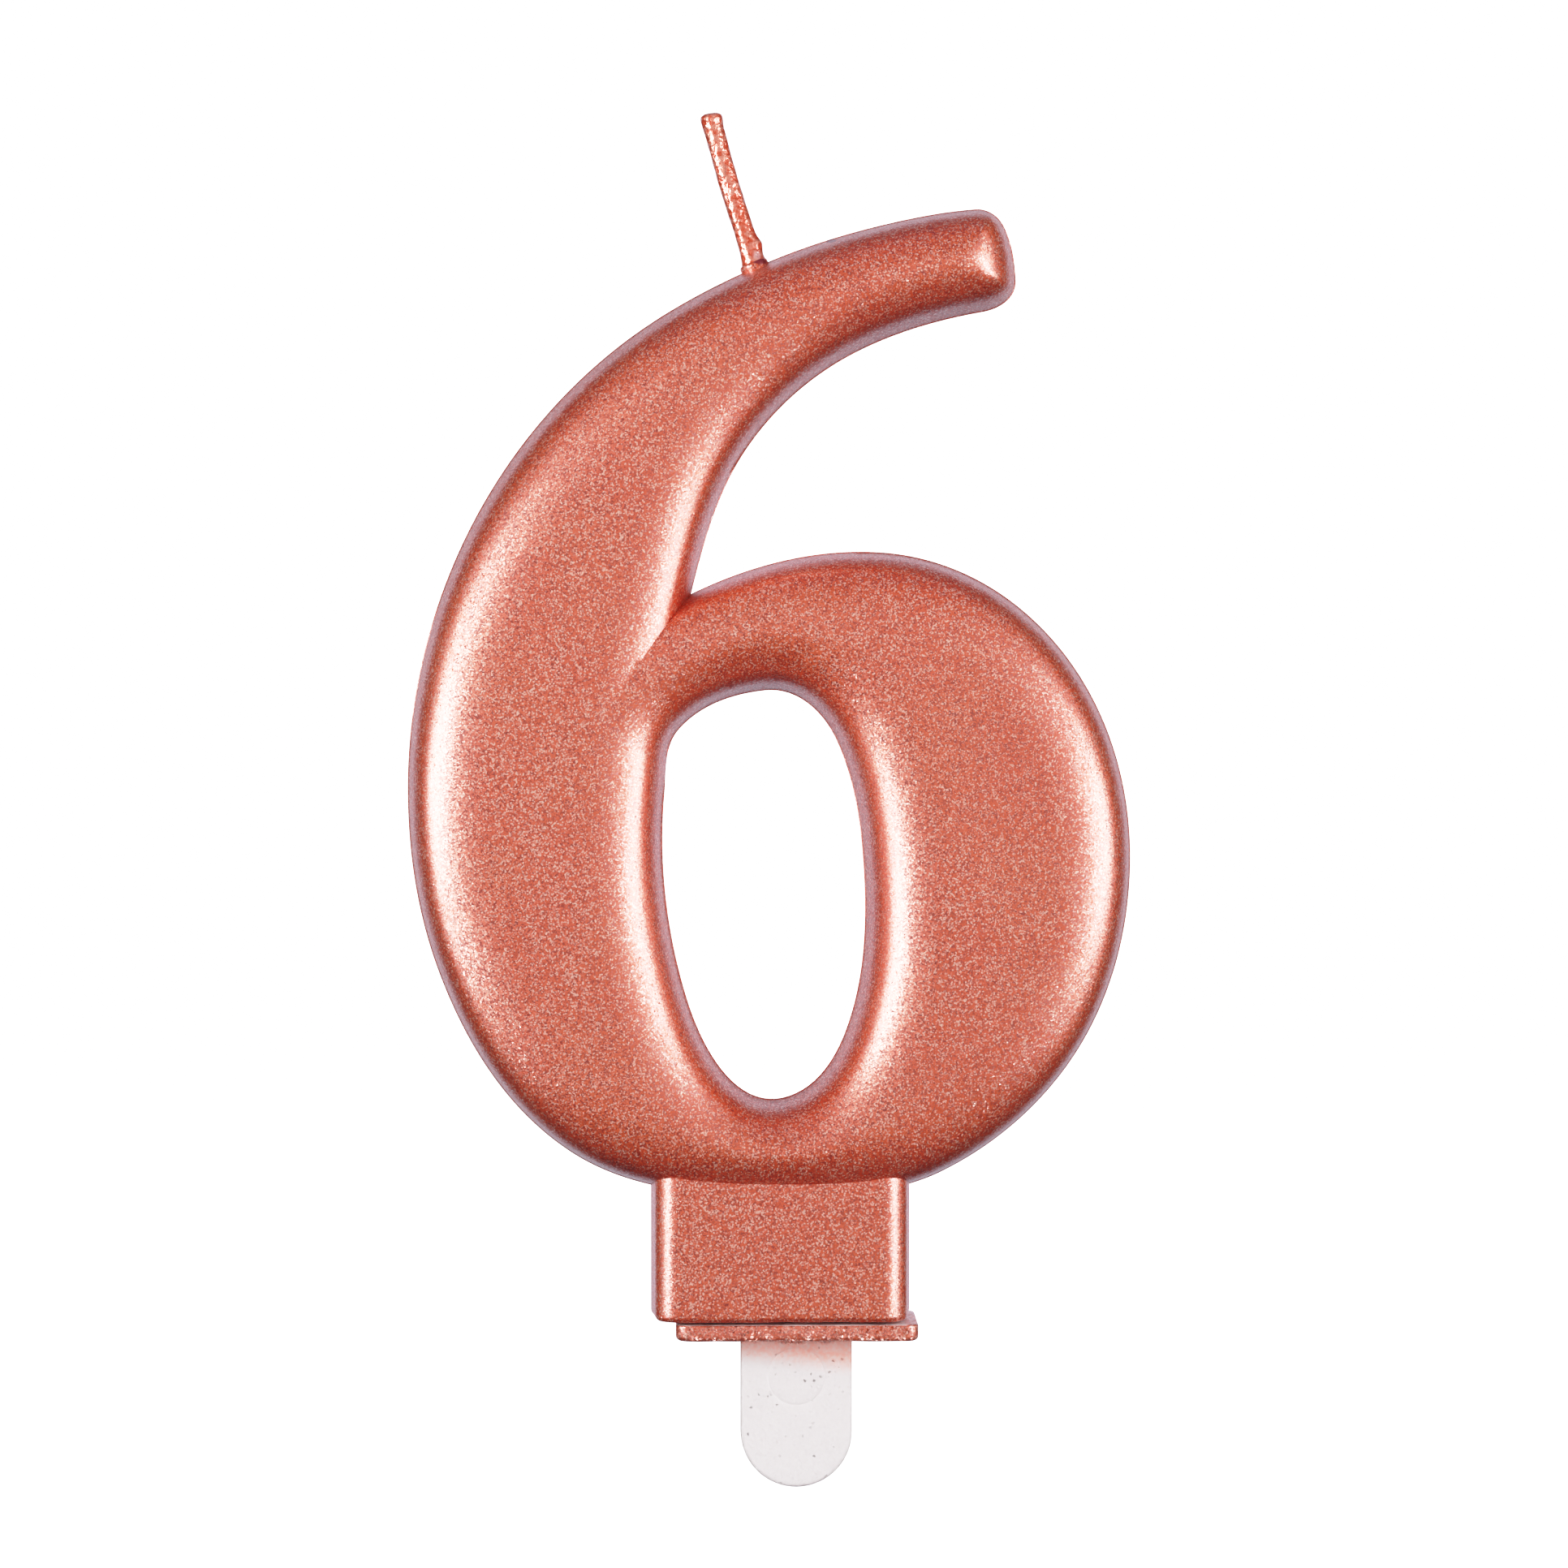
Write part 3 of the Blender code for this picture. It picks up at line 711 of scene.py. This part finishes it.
def block(name, centre, half_width, half_length, radius, profile, material, wave=0.0, draft=0.0):
    """A round-cornered block. Its profile lists (inset, height) from the bottom's middle to the top's.

    Its sides draw in by the draft from the middle plane to the front and back.
    """
    rings = []
    for inset, height in profile:
        corner = max(radius - inset, LEAST_CORNER)
        ring = []
        for x, y in rounded_plan(half_width - inset, half_length - inset, corner):
            spot = Vector((x / BLOCK_WAVE_LENGTH, y / BLOCK_WAVE_LENGTH, height))
            narrower = 1 - draft / half_width * abs(y) / half_length
            ring.append((centre[0] + x * narrower, centre[1] + y, height + wave * noise.noise(spot)))
        rings.append(ring)
    return loft(name, rings, material)


def rounding(height, radius, top=False):
    """A quarter turn of a bottom or top edge's profile, going up."""
    steps = TOP_ROUNDING_STEPS if top else ROUNDING_STEPS
    turns = [math.pi / 2 * i / steps for i in range(steps + 1)]
    if top:
        return [(radius * (1 - math.cos(a)), height - radius * (1 - math.sin(a))) for a in turns]
    return [(radius * (1 - math.sin(a)), height + radius * (1 - math.cos(a))) for a in turns]


def combine(piece, other, operation):
    """Applies a Boolean to the piece and removes the other one."""
    modifier = piece.modifiers.new(other.name, "BOOLEAN")
    modifier.operation = operation
    modifier.solver = "MANIFOLD"
    modifier.object = other
    bpy.context.view_layer.update()
    graph = bpy.context.evaluated_depsgraph_get()
    made = bpy.data.meshes.new_from_object(piece.evaluated_get(graph))
    piece.modifiers.clear()
    piece.data = made
    bpy.data.objects.remove(other)


def shade(piece, sharp_from):
    piece.data.shade_smooth()
    piece.data.set_sharp_from_angle(angle=math.radians(sharp_from))


def foot_block(material):
    straight = FOOT_BOTTOM + FOOT_BOTTOM_ROUND
    profile = [(inset, FOOT_BOTTOM) for inset in FOOT_INSETS]
    profile += rounding(FOOT_BOTTOM, FOOT_BOTTOM_ROUND)
    profile += [(0.0, straight + FOOT_ROW_SPACING * (i + 1)) for i in range(FOOT_ROWS)]
    profile += [(0.0, FOOT_TOP), (FOOT_INSETS[0], FOOT_TOP)]
    return block(
        "foot",
        (FOOT_X, 0),
        FOOT_WIDTH / 2,
        FOOT_FRONT,
        FOOT_ROUND,
        profile,
        material,
        wave=FOOT_WAVE,
        draft=FOOT_DRAFT,
    )


def socket_cutter(material):
    profile = [(0.0, FOOT_BOTTOM - SOCKET_BELOW), (0.0, SOCKET_TOP)]
    half_width = SOCKET_WIDTH / 2
    half_length = SOCKET_DEPTH / 2
    return block("socket", (0, 0), half_width, half_length, SOCKET_ROUND, profile, material)


def numeral(material):
    corners, distance, lean, triangles = numeral_triangles()
    depth = half_depth(distance, lean)
    share = smooth_step(RIDGE_FROM, RIDGE_TO, distance)
    rim = distance == 0
    front, back = [depth + WAVE * share * unevenness(corners, seed) for seed in WAVE_SEEDS]
    wax = relief("numeral_wax", corners, triangles, front, back, rim, material)
    combine(wax, foot_block(material), "UNION")
    combine(wax, socket_cutter(material), "DIFFERENCE")
    shade(wax, WAX_SHARP_EDGE)
    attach(wax, "candle")
    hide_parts("wax_body")


# ---- wick


def along_route(route, step):
    """Places, directions and distances along the wick's axis, which lies in the plane Y = 0."""
    line = curve_through(route, longest=step)
    places = np.column_stack([line[:, 0], np.zeros(len(line)), line[:, 1]])
    gone = np.concatenate([[0], np.cumsum(np.linalg.norm(np.diff(places, axis=0), axis=1))])
    ahead = np.gradient(places, axis=0)
    ahead /= np.linalg.norm(ahead, axis=1, keepdims=True)
    return places, ahead, gone


def rod_radius(angle, gone, length):
    """The lacquered wick's radius, at an angle round it and a distance from its root."""
    turn = 2 * math.pi * gone / WICK_PITCH
    groove = WICK_GROOVE * abs(math.sin((angle - turn) * YARNS / 2)) ** 0.5
    round_it = (math.cos(angle) * CREASES_ROUND, math.sin(angle) * CREASES_ROUND)
    spot = Vector((*round_it, gone * CREASES_ALONG))
    crease = WICK_CREASE * noise.noise(spot) + 0.5 * WICK_CREASE * noise.noise(spot * FINER_CREASES)
    above_lump = (gone - LUMP_RISE) / LUMP_LENGTH
    beside_lump = turn_between(0, math.degrees(angle)) / LUMP_TURN
    lump = LUMP * math.exp(-(above_lump**2) - beside_lump**2)
    flare = FLARE * math.exp(-gone / FLARE_LENGTH)
    from_tip, to_tip = (length - left for left in TIP_SWELL_FROM_TO)
    head = TIP_SWELL * smooth_step(from_tip, to_tip, np.float64(gone))
    return WICK_RADIUS - WICK_GROOVE + groove + crease + lump + flare + head


def yarn_ring(yarn, place, direction, walked, length):
    """One yarn's section of the rod: a point near the axis, then the yarn's share of the way round."""
    aside = np.array([direction[2], 0, -direction[0]])
    middle = 2 * math.pi * walked / WICK_PITCH + 2 * math.pi * (yarn + 0.5) / YARNS
    cap = min(1.0, (length - walked) / TIP_ROUND)
    size = math.sqrt(max(0.0, 1 - (1 - cap) ** 2)) * (1 - TIP_FLAT_SHARE) + TIP_FLAT_SHARE
    ring = [place + YARN_CORE * (aside * math.cos(middle) + TO_BACK * math.sin(middle))]
    for i in range(YARN_POINTS + 1):
        angle = middle + (i / YARN_POINTS - 0.5) * (2 * math.pi / YARNS - YARN_GAP)
        radius = size * rod_radius(angle, walked, length)
        ring.append(place + radius * (aside * math.cos(angle) + TO_BACK * math.sin(angle)))
    return ring


def wick(material):
    """Three yarns side by side, which together have the lacquered rod's surface."""
    places, ahead, gone = along_route(WICK_ROUTE, WICK_STEP)
    for yarn in range(YARNS):
        rings = [yarn_ring(yarn, *at, gone[-1]) for at in zip(places, ahead, gone)]
        piece = loft(f"wick_yarn_{yarn + 1}", rings, material)
        shade(piece, WICK_SHARP_EDGE)
        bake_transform(piece)
        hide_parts(f"wick_exposed_yarn_{yarn + 1}")


def wick_foot(material):
    """The collar of wax and lacquer that closes the hole round the wick."""
    root = np.array([WICK_ROUTE[0][0], 0, WICK_ROUTE[0][1]])
    slope = math.radians(COLLAR_SLOPE)
    up = np.array([-math.sin(slope), 0, math.cos(slope)])
    across = np.array([up[2], 0, -up[0]])
    points = []
    for radius, height in COLLAR_PROFILE:
        for i in range(COLLAR_TURNS):
            angle = 2 * math.pi * i / COLLAR_TURNS
            right, back = math.cos(angle), math.sin(angle)
            spot = Vector((right * COLLAR_SWELLS_ROUND, back * COLLAR_SWELLS_ROUND, height))
            swell = 1 + COLLAR_SWELL * noise.noise(spot)
            points.append(root + radius * swell * (across * right + TO_BACK * back) + up * height)
    faces = []
    for level in range(len(COLLAR_PROFILE)):
        here = level * COLLAR_TURNS
        after = (level + 1) % len(COLLAR_PROFILE) * COLLAR_TURNS
        for i in range(COLLAR_TURNS):
            j = (i + 1) % COLLAR_TURNS
            faces.append([here + i, here + j, after + j, after + i])
    piece = new_piece("wick_collar", points, faces, material)
    shade(piece, WICK_SHARP_EDGE)
    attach(piece, "candle")
    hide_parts("wick_seal_drop")


# ---- pick


def blade_outline():
    """Half the blade's edge from the tab's tip up to the tang's point, then its mirror image."""
    half = TAB_WIDTH / 2
    tip = [(0, -TAB_LENGTH, 0, 0), (half, half - TAB_LENGTH, 90, 0)]
    right = [tuple(point[:2]) for point in curve_through(tip, longest=TAB_TIP_STEP)]
    first = half - TAB_LENGTH + BLADE_EDGE_SPACING
    right += [(half, z) for z in np.arange(first, BLADE_EDGE_TOP, BLADE_EDGE_SPACING)]
    right.append((half, FLANGE_THICKNESS / 2))
    tang = TANG_WIDTH / 2
    right.append((tang, FLANGE_THICKNESS / 2))
    pitch = (TANG_TOP - TANG_POINT - FLANGE_THICKNESS) / (BARB_COUNT + 0.5)
    for i in range(BARB_COUNT):
        base = FLANGE_THICKNESS + pitch * (i + 0.5)
        right.append((tang, base))
        right.append((tang + BARB, base + BARB_POINT_SHARE * pitch))
        right.append((tang, base + BARB_END_SHARE * pitch))
    right += [(tang, TANG_TOP - TANG_POINT), (tang - TANG_POINT, TANG_TOP)]
    left = [(-x, z) for x, z in reversed(right) if x > 0]
    return np.array(right + left)


def from_ejector_groove(points):
    return np.abs(np.hypot(points[:, 0], points[:, 1] - EJECTOR_Z) - EJECTOR_RINGS[2])


def blade_triangles():
    """Corners in the plane Y = 0, their distance from the blade's edge, and the triangles."""
    outline = blade_outline()
    points = [outline]
    edges = edges_round(0, len(outline))
    first = len(outline)
    for level in BLADE_LEVELS:
        sides = beside(outline, level)
        found = [depth_inside(side, [outline]) for side in sides]
        inner = int(found[1].sum() > found[0].sum())
        kept = found[inner] > BLADE_LEAST_FOUND * level
        edges += edges_between(first, kept)
        points.append(sides[inner][kept])
        first += int(kept.sum())
    turns = np.arange(EJECTOR_TURNS) * 2 * math.pi / EJECTOR_TURNS
    for radius in EJECTOR_RINGS:
        points.append(np.column_stack([radius * np.cos(turns), EJECTOR_Z + radius * np.sin(turns)]))
        edges += edges_round(first, EJECTOR_TURNS)
        first += EJECTOR_TURNS
    low, high = outline.min(axis=0), outline.max(axis=0)
    columns, rows = (np.arange(low[i], high[i], BLADE_SPACING) for i in (0, 1))
    grid = np.array([(x, z) for x in columns for z in rows])
    inside = depth_inside(grid, [outline]) > BLADE_LEVELS[-1] + BLADE_CLEAR
    points.append(grid[inside & (from_ejector_groove(grid) > EJECTOR_CLEAR)])
    corners, triangles = triangles_over(points, edges, [outline])
    return corners, depth_inside(corners, [outline]), triangles


def pick(material):
    corners, distance, triangles = blade_triangles()
    share = np.clip(distance / BLADE_ROUND, 0, 1)
    half = BLADE_THICKNESS / 2 - BLADE_ROUND + BLADE_ROUND * np.sqrt(1 - (1 - share) ** 2)
    rim = distance < RIM_TOLERANCE
    half = np.where(rim, 0, half)
    groove = EJECTOR_GROOVE * (1 - smooth_step(0, EJECTOR_GROOVE_REACH, from_ejector_groove(corners)))
    piece = relief("pick_plate", corners, triangles, half - groove, half, rim, material)
    under, over = FLANGE_UNDER, FLANGE_UNDER + FLANGE_THICKNESS
    profile = [(inset, under) for inset in FLANGE_INSETS] + rounding(under, FLANGE_ROUND)
    profile += rounding(over, FLANGE_TOP_ROUND, top=True)
    profile += [(inset, over) for inset in reversed(FLANGE_INSETS)]
    flange = block(
        "flange",
        (0, 0),
        FLANGE_WIDTH / 2,
        FLANGE_DEPTH / 2,
        FLANGE_CORNER,
        profile,
        material,
        wave=FLANGE_WAVE,
    )
    combine(piece, flange, "UNION")
    shade(piece, PICK_SHARP_EDGE)
    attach(piece, "pick")
    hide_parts("cake_pick")


# ---- materials


def in_metres(lengths):
    return [length * MM for length in lengths]


class Graph:
    """A material's nodes, each made and joined up in one call."""

    def __init__(self, name):
        self.material = bpy.data.materials.new(name)
        self.material.use_nodes = True
        self.tree = self.material.node_tree
        self.shader = self.tree.nodes["Principled BSDF"]
        self.place = self.add("ShaderNodeTexCoord").outputs["Object"]

    def add(self, kind, inputs=None, **settings):
        node = self.tree.nodes.new(kind)
        for key, value in settings.items():
            setattr(node, key, value)
        for key, value in (inputs or {}).items():
            self.put(node.inputs[key], value)
        return node

    def put(self, socket, value):
        if isinstance(value, bpy.types.NodeSocket):
            self.tree.links.new(value, socket)
        else:
            socket.default_value = value

    def set(self, **inputs):
        for key, value in inputs.items():
            self.put(self.shader.inputs[key.replace("_", " ")], value)

    def number(self, operation, first, second=0.0, third=0.0):
        inputs = {0: first, 1: second, 2: third}
        return self.add("ShaderNodeMath", inputs, operation=operation).outputs[0]

    def vector(self, operation, first, second=(0, 0, 0)):
        return self.add("ShaderNodeVectorMath", {0: first, 1: second}, operation=operation).outputs[0]

    def scaled(self, vector, factor):
        node = self.add("ShaderNodeVectorMath", {0: vector, "Scale": factor}, operation="SCALE")
        return node.outputs[0]

    def length(self, vector):
        return self.add("ShaderNodeVectorMath", {0: vector}, operation="LENGTH").outputs["Value"]

    def noise(self, size, detail=2.0):
        inputs = {"Vector": self.place, "Scale": 1 / (size * MM), "Detail": detail}
        return self.add("ShaderNodeTexNoise", inputs).outputs["Fac"]

    def cells(self, size):
        """A random colour in each cell, and that colour's three parts."""
        inputs = {"Vector": self.place, "Scale": 1 / (size * MM)}
        colour = self.add("ShaderNodeTexVoronoi", inputs).outputs["Color"]
        return colour, self.add("ShaderNodeSeparateColor", {"Color": colour}).outputs

    def mix(self, factor, first, second):
        node = self.add("ShaderNodeMix", data_type="RGBA")
        self.put(node.inputs["Factor"], factor)
        self.put(node.inputs[6], first)
        self.put(node.inputs[7], second)
        return node.outputs[2]

    def range(self, value, low, high, to_low=0.0, to_high=1.0, smooth=True):
        kind = "SMOOTHSTEP" if smooth else "LINEAR"
        inputs = {"Value": value, "From Min": low, "From Max": high}
        inputs |= {"To Min": to_low, "To Max": to_high}
        return self.add("ShaderNodeMapRange", inputs, interpolation_type=kind).outputs[0]

    def bump(self, height, distance, strength=1.0):
        inputs = {"Height": height, "Strength": strength, "Distance": distance * MM}
        return self.add("ShaderNodeBump", inputs).outputs[0]

    def flakes(self, size, tilt, rare_tilt, rare):
        """The surface's normal, turned a little at random in each flake and more in a few of them."""
        colour, parts = self.cells(size)
        rare_one = self.number("GREATER_THAN", parts[2], self.number("SUBTRACT", 1.0, rare))
        strength = self.number("MULTIPLY_ADD", rare_one, rare_tilt - tilt, tilt)
        random = self.vector("SUBTRACT", colour, (0.5, 0.5, 0.5))
        normal = self.add("ShaderNodeNewGeometry").outputs["Normal"]
        return self.vector("NORMALIZE", self.vector("ADD", normal, self.scaled(random, strength)))


def lacquer_colour(graph):
    """Rose gold that changes from flake to flake: deep copper, mid tone and pale silver-pink."""
    patches = graph.range(graph.noise(PATCH_SIZE, PATCH_DETAIL), *PATCH_FROM_TO)
    colour = graph.mix(patches, *COPPER)
    _, parts = graph.cells(FLAKE)
    dark = graph.range(parts[0], *DARK_FLAKE_FROM_TO, smooth=False)
    pale = graph.range(parts[1], *PALE_FLAKE_FROM_TO, smooth=False)
    return graph.mix(pale, graph.mix(dark, colour, DARK_FLAKE), PALE_FLAKE)


def lacquer(name):
    """Sprayed rose-gold lacquer: fine flakes in a clear coat that catch the light one by one, and painted
    shade in a pit and a crevice.
    """
    graph = Graph(name)
    colour = lacquer_colour(graph)
    # Painted shade: the base colour turns deep maroon in the pit on the arm and in the crevice beside the
    # wick's root.
    out_of_painted_shade = 1.0
    for place, reach in PAINTED_SHADE_SPOTS:
        apart = graph.vector("MULTIPLY", graph.vector("SUBTRACT", graph.place, place), reach)
        clear = graph.range(graph.length(apart), *PAINTED_SHADE_FROM_TO)
        out_of_painted_shade = graph.number("MULTIPLY", out_of_painted_shade, clear)
    graph.set(Base_Color=graph.mix(out_of_painted_shade, PAINTED_SHADE_COLOUR, colour))
    graph.set(Metallic=BASE_METAL, Specular_Tint=SPECULAR_TINT)
    graph.set(Coat_Weight=1.0, Coat_IOR=COAT_IOR, Coat_Roughness=COAT_ROUGHNESS)
    least, most = (BASE_ROUGHNESS + more for more in ROUGHNESS_SPREAD)
    graph.set(Roughness=graph.range(graph.noise(ROUGHNESS_PATCH), *NOISE_FROM_TO, least, most))
    normal = graph.flakes(FLAKE, FLAKE_TILT, RARE_FLAKE_TILT, RARE_FLAKES)
    graph.set(Normal=normal, Coat_Normal=normal)
    return graph.material


def wick_lacquer(name):
    """The same lacquer over wrinkled wax, with painted shade in the wrinkles' hollows and paler painted
    crests, and a rubbed spot near the root where the wax shows.
    """
    graph = Graph(name)
    wrinkles = graph.noise(WRINKLE_SIZE, WRINKLE_DETAIL)
    # Painted shade and light: the colour follows the bump's pattern, deep copper in the hollows and pale
    # on the crests.
    colour = graph.mix(graph.range(wrinkles, *WRINKLE_FROM_TO), *WRINKLE_PAINTED_SHADE_AND_LIGHT)
    from_bare = graph.length(graph.vector("SUBTRACT", graph.place, BARE_SPOT))
    bare = graph.range(from_bare, *in_metres(BARE_FROM_TO), BARE_SHARE, 0.0)
    graph.set(Base_Color=graph.mix(bare, colour, BARE_WAX))
    graph.set(Metallic=graph.range(bare, 0, 1, BASE_METAL, 0.0), Roughness=WICK_ROUGHNESS)
    graph.set(Coat_Weight=1.0, Coat_IOR=WICK_COAT_IOR, Coat_Roughness=WICK_COAT_ROUGHNESS)
    bump = graph.bump(wrinkles, WRINKLE_HEIGHT)
    graph.set(Normal=bump, Coat_Normal=bump)
    return graph.material


def yarn_cotton(name):
    graph = Graph(name)
    strands = graph.noise(STRAND_SIZE, STRAND_DETAIL)
    graph.set(Base_Color=graph.mix(strands, *COTTON), Roughness=COTTON_ROUGHNESS)
    graph.set(Normal=graph.bump(strands, STRAND_HEIGHT, STRAND_BUMP))
    return graph.material


def in_reach_of_spray(graph, across, height):
    """1 beyond the foot block's sides and below the flange's top, 0 where the candle sat."""
    from_foot = graph.number("ABSOLUTE", graph.number("SUBTRACT", across, FOOT_X * MM))
    side = in_metres(FOOT_WIDTH / 2 + past for past in FOOT_SIDE_FROM_TO)
    top = in_metres(FLANGE_UNDER + FLANGE_THICKNESS + above for above in FLANGE_TOP_FROM_TO)
    beyond_foot = graph.range(from_foot, *side)
    return graph.number("MAXIMUM", beyond_foot, graph.range(height, *top, 1.0, 0.0))


def pick_plastic(name):
    """White moulded plastic; the lacquer reaches the flange and thins out down the tab."""
    graph = Graph(name)
    across, _, height = graph.add("ShaderNodeSeparateXYZ", {"Vector": graph.place}).outputs
    in_reach = in_reach_of_spray(graph, across, height)
    wander = graph.noise(RAGGED_SIZE, RAGGED_DETAIL)
    ragged = graph.number("MULTIPLY_ADD", wander, RAGGED_REACH * MM, height)
    covered = graph.range(ragged, *in_metres(SPRAY_FROM_TO), 0.0, SPRAY_SHARE)
    covered = graph.number("MULTIPLY", covered, in_reach)
    slanted = graph.number("MULTIPLY_ADD", across, MIST_SLANT, height)
    mist = graph.range(slanted, *in_metres(MIST_FROM_TO), 0.0, MIST_SHARE)
    specks = graph.range(graph.noise(MIST_SPECK), *NOISE_FROM_TO, *MIST_SPECK_SHARES)
    mist = graph.number("MULTIPLY", graph.number("MULTIPLY", mist, specks), in_reach)
    plastic = graph.mix(graph.noise(PLASTIC_PATCH), *PLASTIC)
    misted = graph.mix(mist, plastic, MIST)
    graph.set(Base_Color=graph.mix(covered, misted, lacquer_colour(graph)))
    graph.set(Metallic=graph.range(covered, *METAL_FROM_TO, 0.0, BASE_METAL))
    graph.set(Roughness=graph.range(covered, 0, 1, PLASTIC_ROUGHNESS, BASE_ROUGHNESS))
    graph.set(Coat_Weight=graph.range(covered, *COATED_FROM_TO))
    graph.set(Coat_IOR=COAT_IOR, Coat_Roughness=COAT_ROUGHNESS)
    rare = graph.range(covered, *GLITTER_FROM_TO, *PICK_RARE_FLAKES)
    normal = graph.flakes(PICK_FLAKE, PICK_FLAKE_TILT, PICK_RARE_TILT, rare)
    graph.set(Normal=normal, Coat_Normal=normal)
    return graph.material


# ---- stage


def film_response(settings):
    """Rolls each channel off towards white, and deepens the darkest tones a little, as a camera does."""
    settings.view_transform = "Standard"
    settings.use_curve_mapping = True
    mapping = settings.curve_mapping
    brightest = FILM_CURVE[-1][0]
    mapping.white_level = (brightest, brightest, brightest)
    curve = mapping.curves[3]
    curve.points[0].location = FILM_CURVE[0]
    curve.points[1].location = (1, FILM_CURVE[-1][1])
    for scene_value, shown in FILM_CURVE[1:-1]:
        curve.points.new(scene_value / brightest, shown)
    mapping.update()


def room(scene):
    """What the lacquer reflects; the camera itself sees plain white behind the object."""
    world = bpy.data.worlds.new("studio")
    scene.world = world
    world.use_nodes = True
    tree = world.node_tree
    background = tree.nodes["Background"]
    direction = tree.nodes.new("ShaderNodeTexCoord")
    split = tree.nodes.new("ShaderNodeSeparateXYZ")
    tree.links.new(direction.outputs["Generated"], split.inputs[0])

    def blend_by(axis, low, high, first, second):
        amount = tree.nodes.new("ShaderNodeMapRange")
        amount.interpolation_type = "SMOOTHSTEP"
        amount.inputs["From Min"].default_value = low
        amount.inputs["From Max"].default_value = high
        tree.links.new(split.outputs[axis], amount.inputs["Value"])
        blend = tree.nodes.new("ShaderNodeMix")
        blend.data_type = "RGBA"
        tree.links.new(amount.outputs[0], blend.inputs["Factor"])
        for socket, colour in ((6, first), (7, second)):
            if isinstance(colour, tuple):
                blend.inputs[socket].default_value = colour
            else:
                tree.links.new(colour, blend.inputs[socket])
        return blend.outputs[2]

    level = blend_by("Y", *BEHIND_FROM_TO, ROOM_AHEAD, ROOM_BEHIND)
    lower = blend_by("Z", *BELOW_FROM_TO, ROOM_BELOW, level)
    reflected = blend_by("Z", *ABOVE_FROM_TO, lower, ROOM_ABOVE)
    tree.links.new(reflected, background.inputs["Color"])
    white = tree.nodes.new("ShaderNodeBackground")
    white.inputs["Color"].default_value = (1, 1, 1, 1)
    white.inputs["Strength"].default_value = BACKDROP
    seen = tree.nodes.new("ShaderNodeLightPath")
    mix = tree.nodes.new("ShaderNodeMixShader")
    tree.links.new(seen.outputs["Is Camera Ray"], mix.inputs[0])
    tree.links.new(background.outputs[0], mix.inputs[1])
    tree.links.new(white.outputs[0], mix.inputs[2])
    tree.links.new(mix.outputs[0], tree.nodes["World Output"].inputs["Surface"])


def camera(scene, centre):
    taker = bpy.data.objects.new("camera", bpy.data.cameras.new("camera"))
    taker.location = (CAMERA_X * MM, -CAMERA_DISTANCE * MM, CAMERA_Z * MM)
    aim = centre + Vector(AIM_OFFSET) * MM
    taker.rotation_euler = (aim - taker.location).to_track_quat("-Z", "Y").to_euler()
    taker.data.sensor_width = SENSOR
    taker.data.lens = SENSOR * (aim - taker.location).length / (FRAME_WIDTH * MM)
    taker.data.clip_start = CLIP_START
    scene.collection.objects.link(taker)
    scene.camera = taker


def lamps(scene, centre):
    for name, place, size, power, lights_by in LIGHTS:
        light = bpy.data.lights.new(name, "AREA")
        light.shape = "RECTANGLE"
        light.size = size[0] * MM
        light.size_y = size[1] * MM
        light.energy = power
        lamp = bpy.data.objects.new(name, light)
        lamp.location = centre + Vector(place) * MM
        lamp.rotation_euler = (centre - lamp.location).to_track_quat("-Z", "Y").to_euler()
        lamp.visible_camera = False
        lamp.visible_diffuse = lights_by == "diffuse"
        lamp.visible_glossy = lights_by == "glossy"
        scene.collection.objects.link(lamp)


def floor_paper(low, centre):
    """A white disc under the tab that fades out into the backdrop and doesn't light the object."""
    radius = FLOOR_RADIUS * MM
    bpy.ops.mesh.primitive_circle_add(vertices=FLOOR_SIDES, radius=radius, fill_type="NGON")
    floor = bpy.context.object
    floor.name = "floor"
    floor.location = (centre.x, 0, low.z - FLOOR_GAP * MM)
    floor.visible_glossy = False
    floor.visible_diffuse = False
    graph = Graph("floor_paper")
    graph.set(Base_Color=FLOOR_WHITE, Roughness=FLOOR_ROUGHNESS)
    graph.set(Emission_Color=(1, 1, 1, 1), Emission_Strength=FLOOR_GLOW)
    fade = graph.range(graph.length(graph.place), FLOOR_FADE_FROM * FLOOR_RADIUS * MM, radius)
    clear = graph.add("ShaderNodeBsdfTransparent").outputs[0]
    mixed = graph.add("ShaderNodeMixShader", {0: fade, 1: graph.shader.outputs[0], 2: clear})
    graph.put(graph.tree.nodes["Material Output"].inputs["Surface"], mixed.outputs[0])
    floor.data.materials.append(graph.material)


def stage():
    scene = bpy.context.scene
    low, high = cad_box
    centre = (low + high) / 2
    film_response(scene.view_settings)
    room(scene)
    camera(scene, centre)
    lamps(scene, centre)
    floor_paper(low, centre)


def main():
    stage()
    wax = lacquer("rose_gold_lacquer")
    numeral(wax)
    wick(wick_lacquer("wick_lacquer"))
    wick_foot(wax)
    pick(pick_plastic("pick_plastic_sprayed"))
    cotton = yarn_cotton("wick_cotton")
    for yarn in range(YARNS):
        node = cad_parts[f"wick_embedded_yarn_{yarn + 1}"]
        node.data.materials.clear()
        node.data.materials.append(cotton)


main()
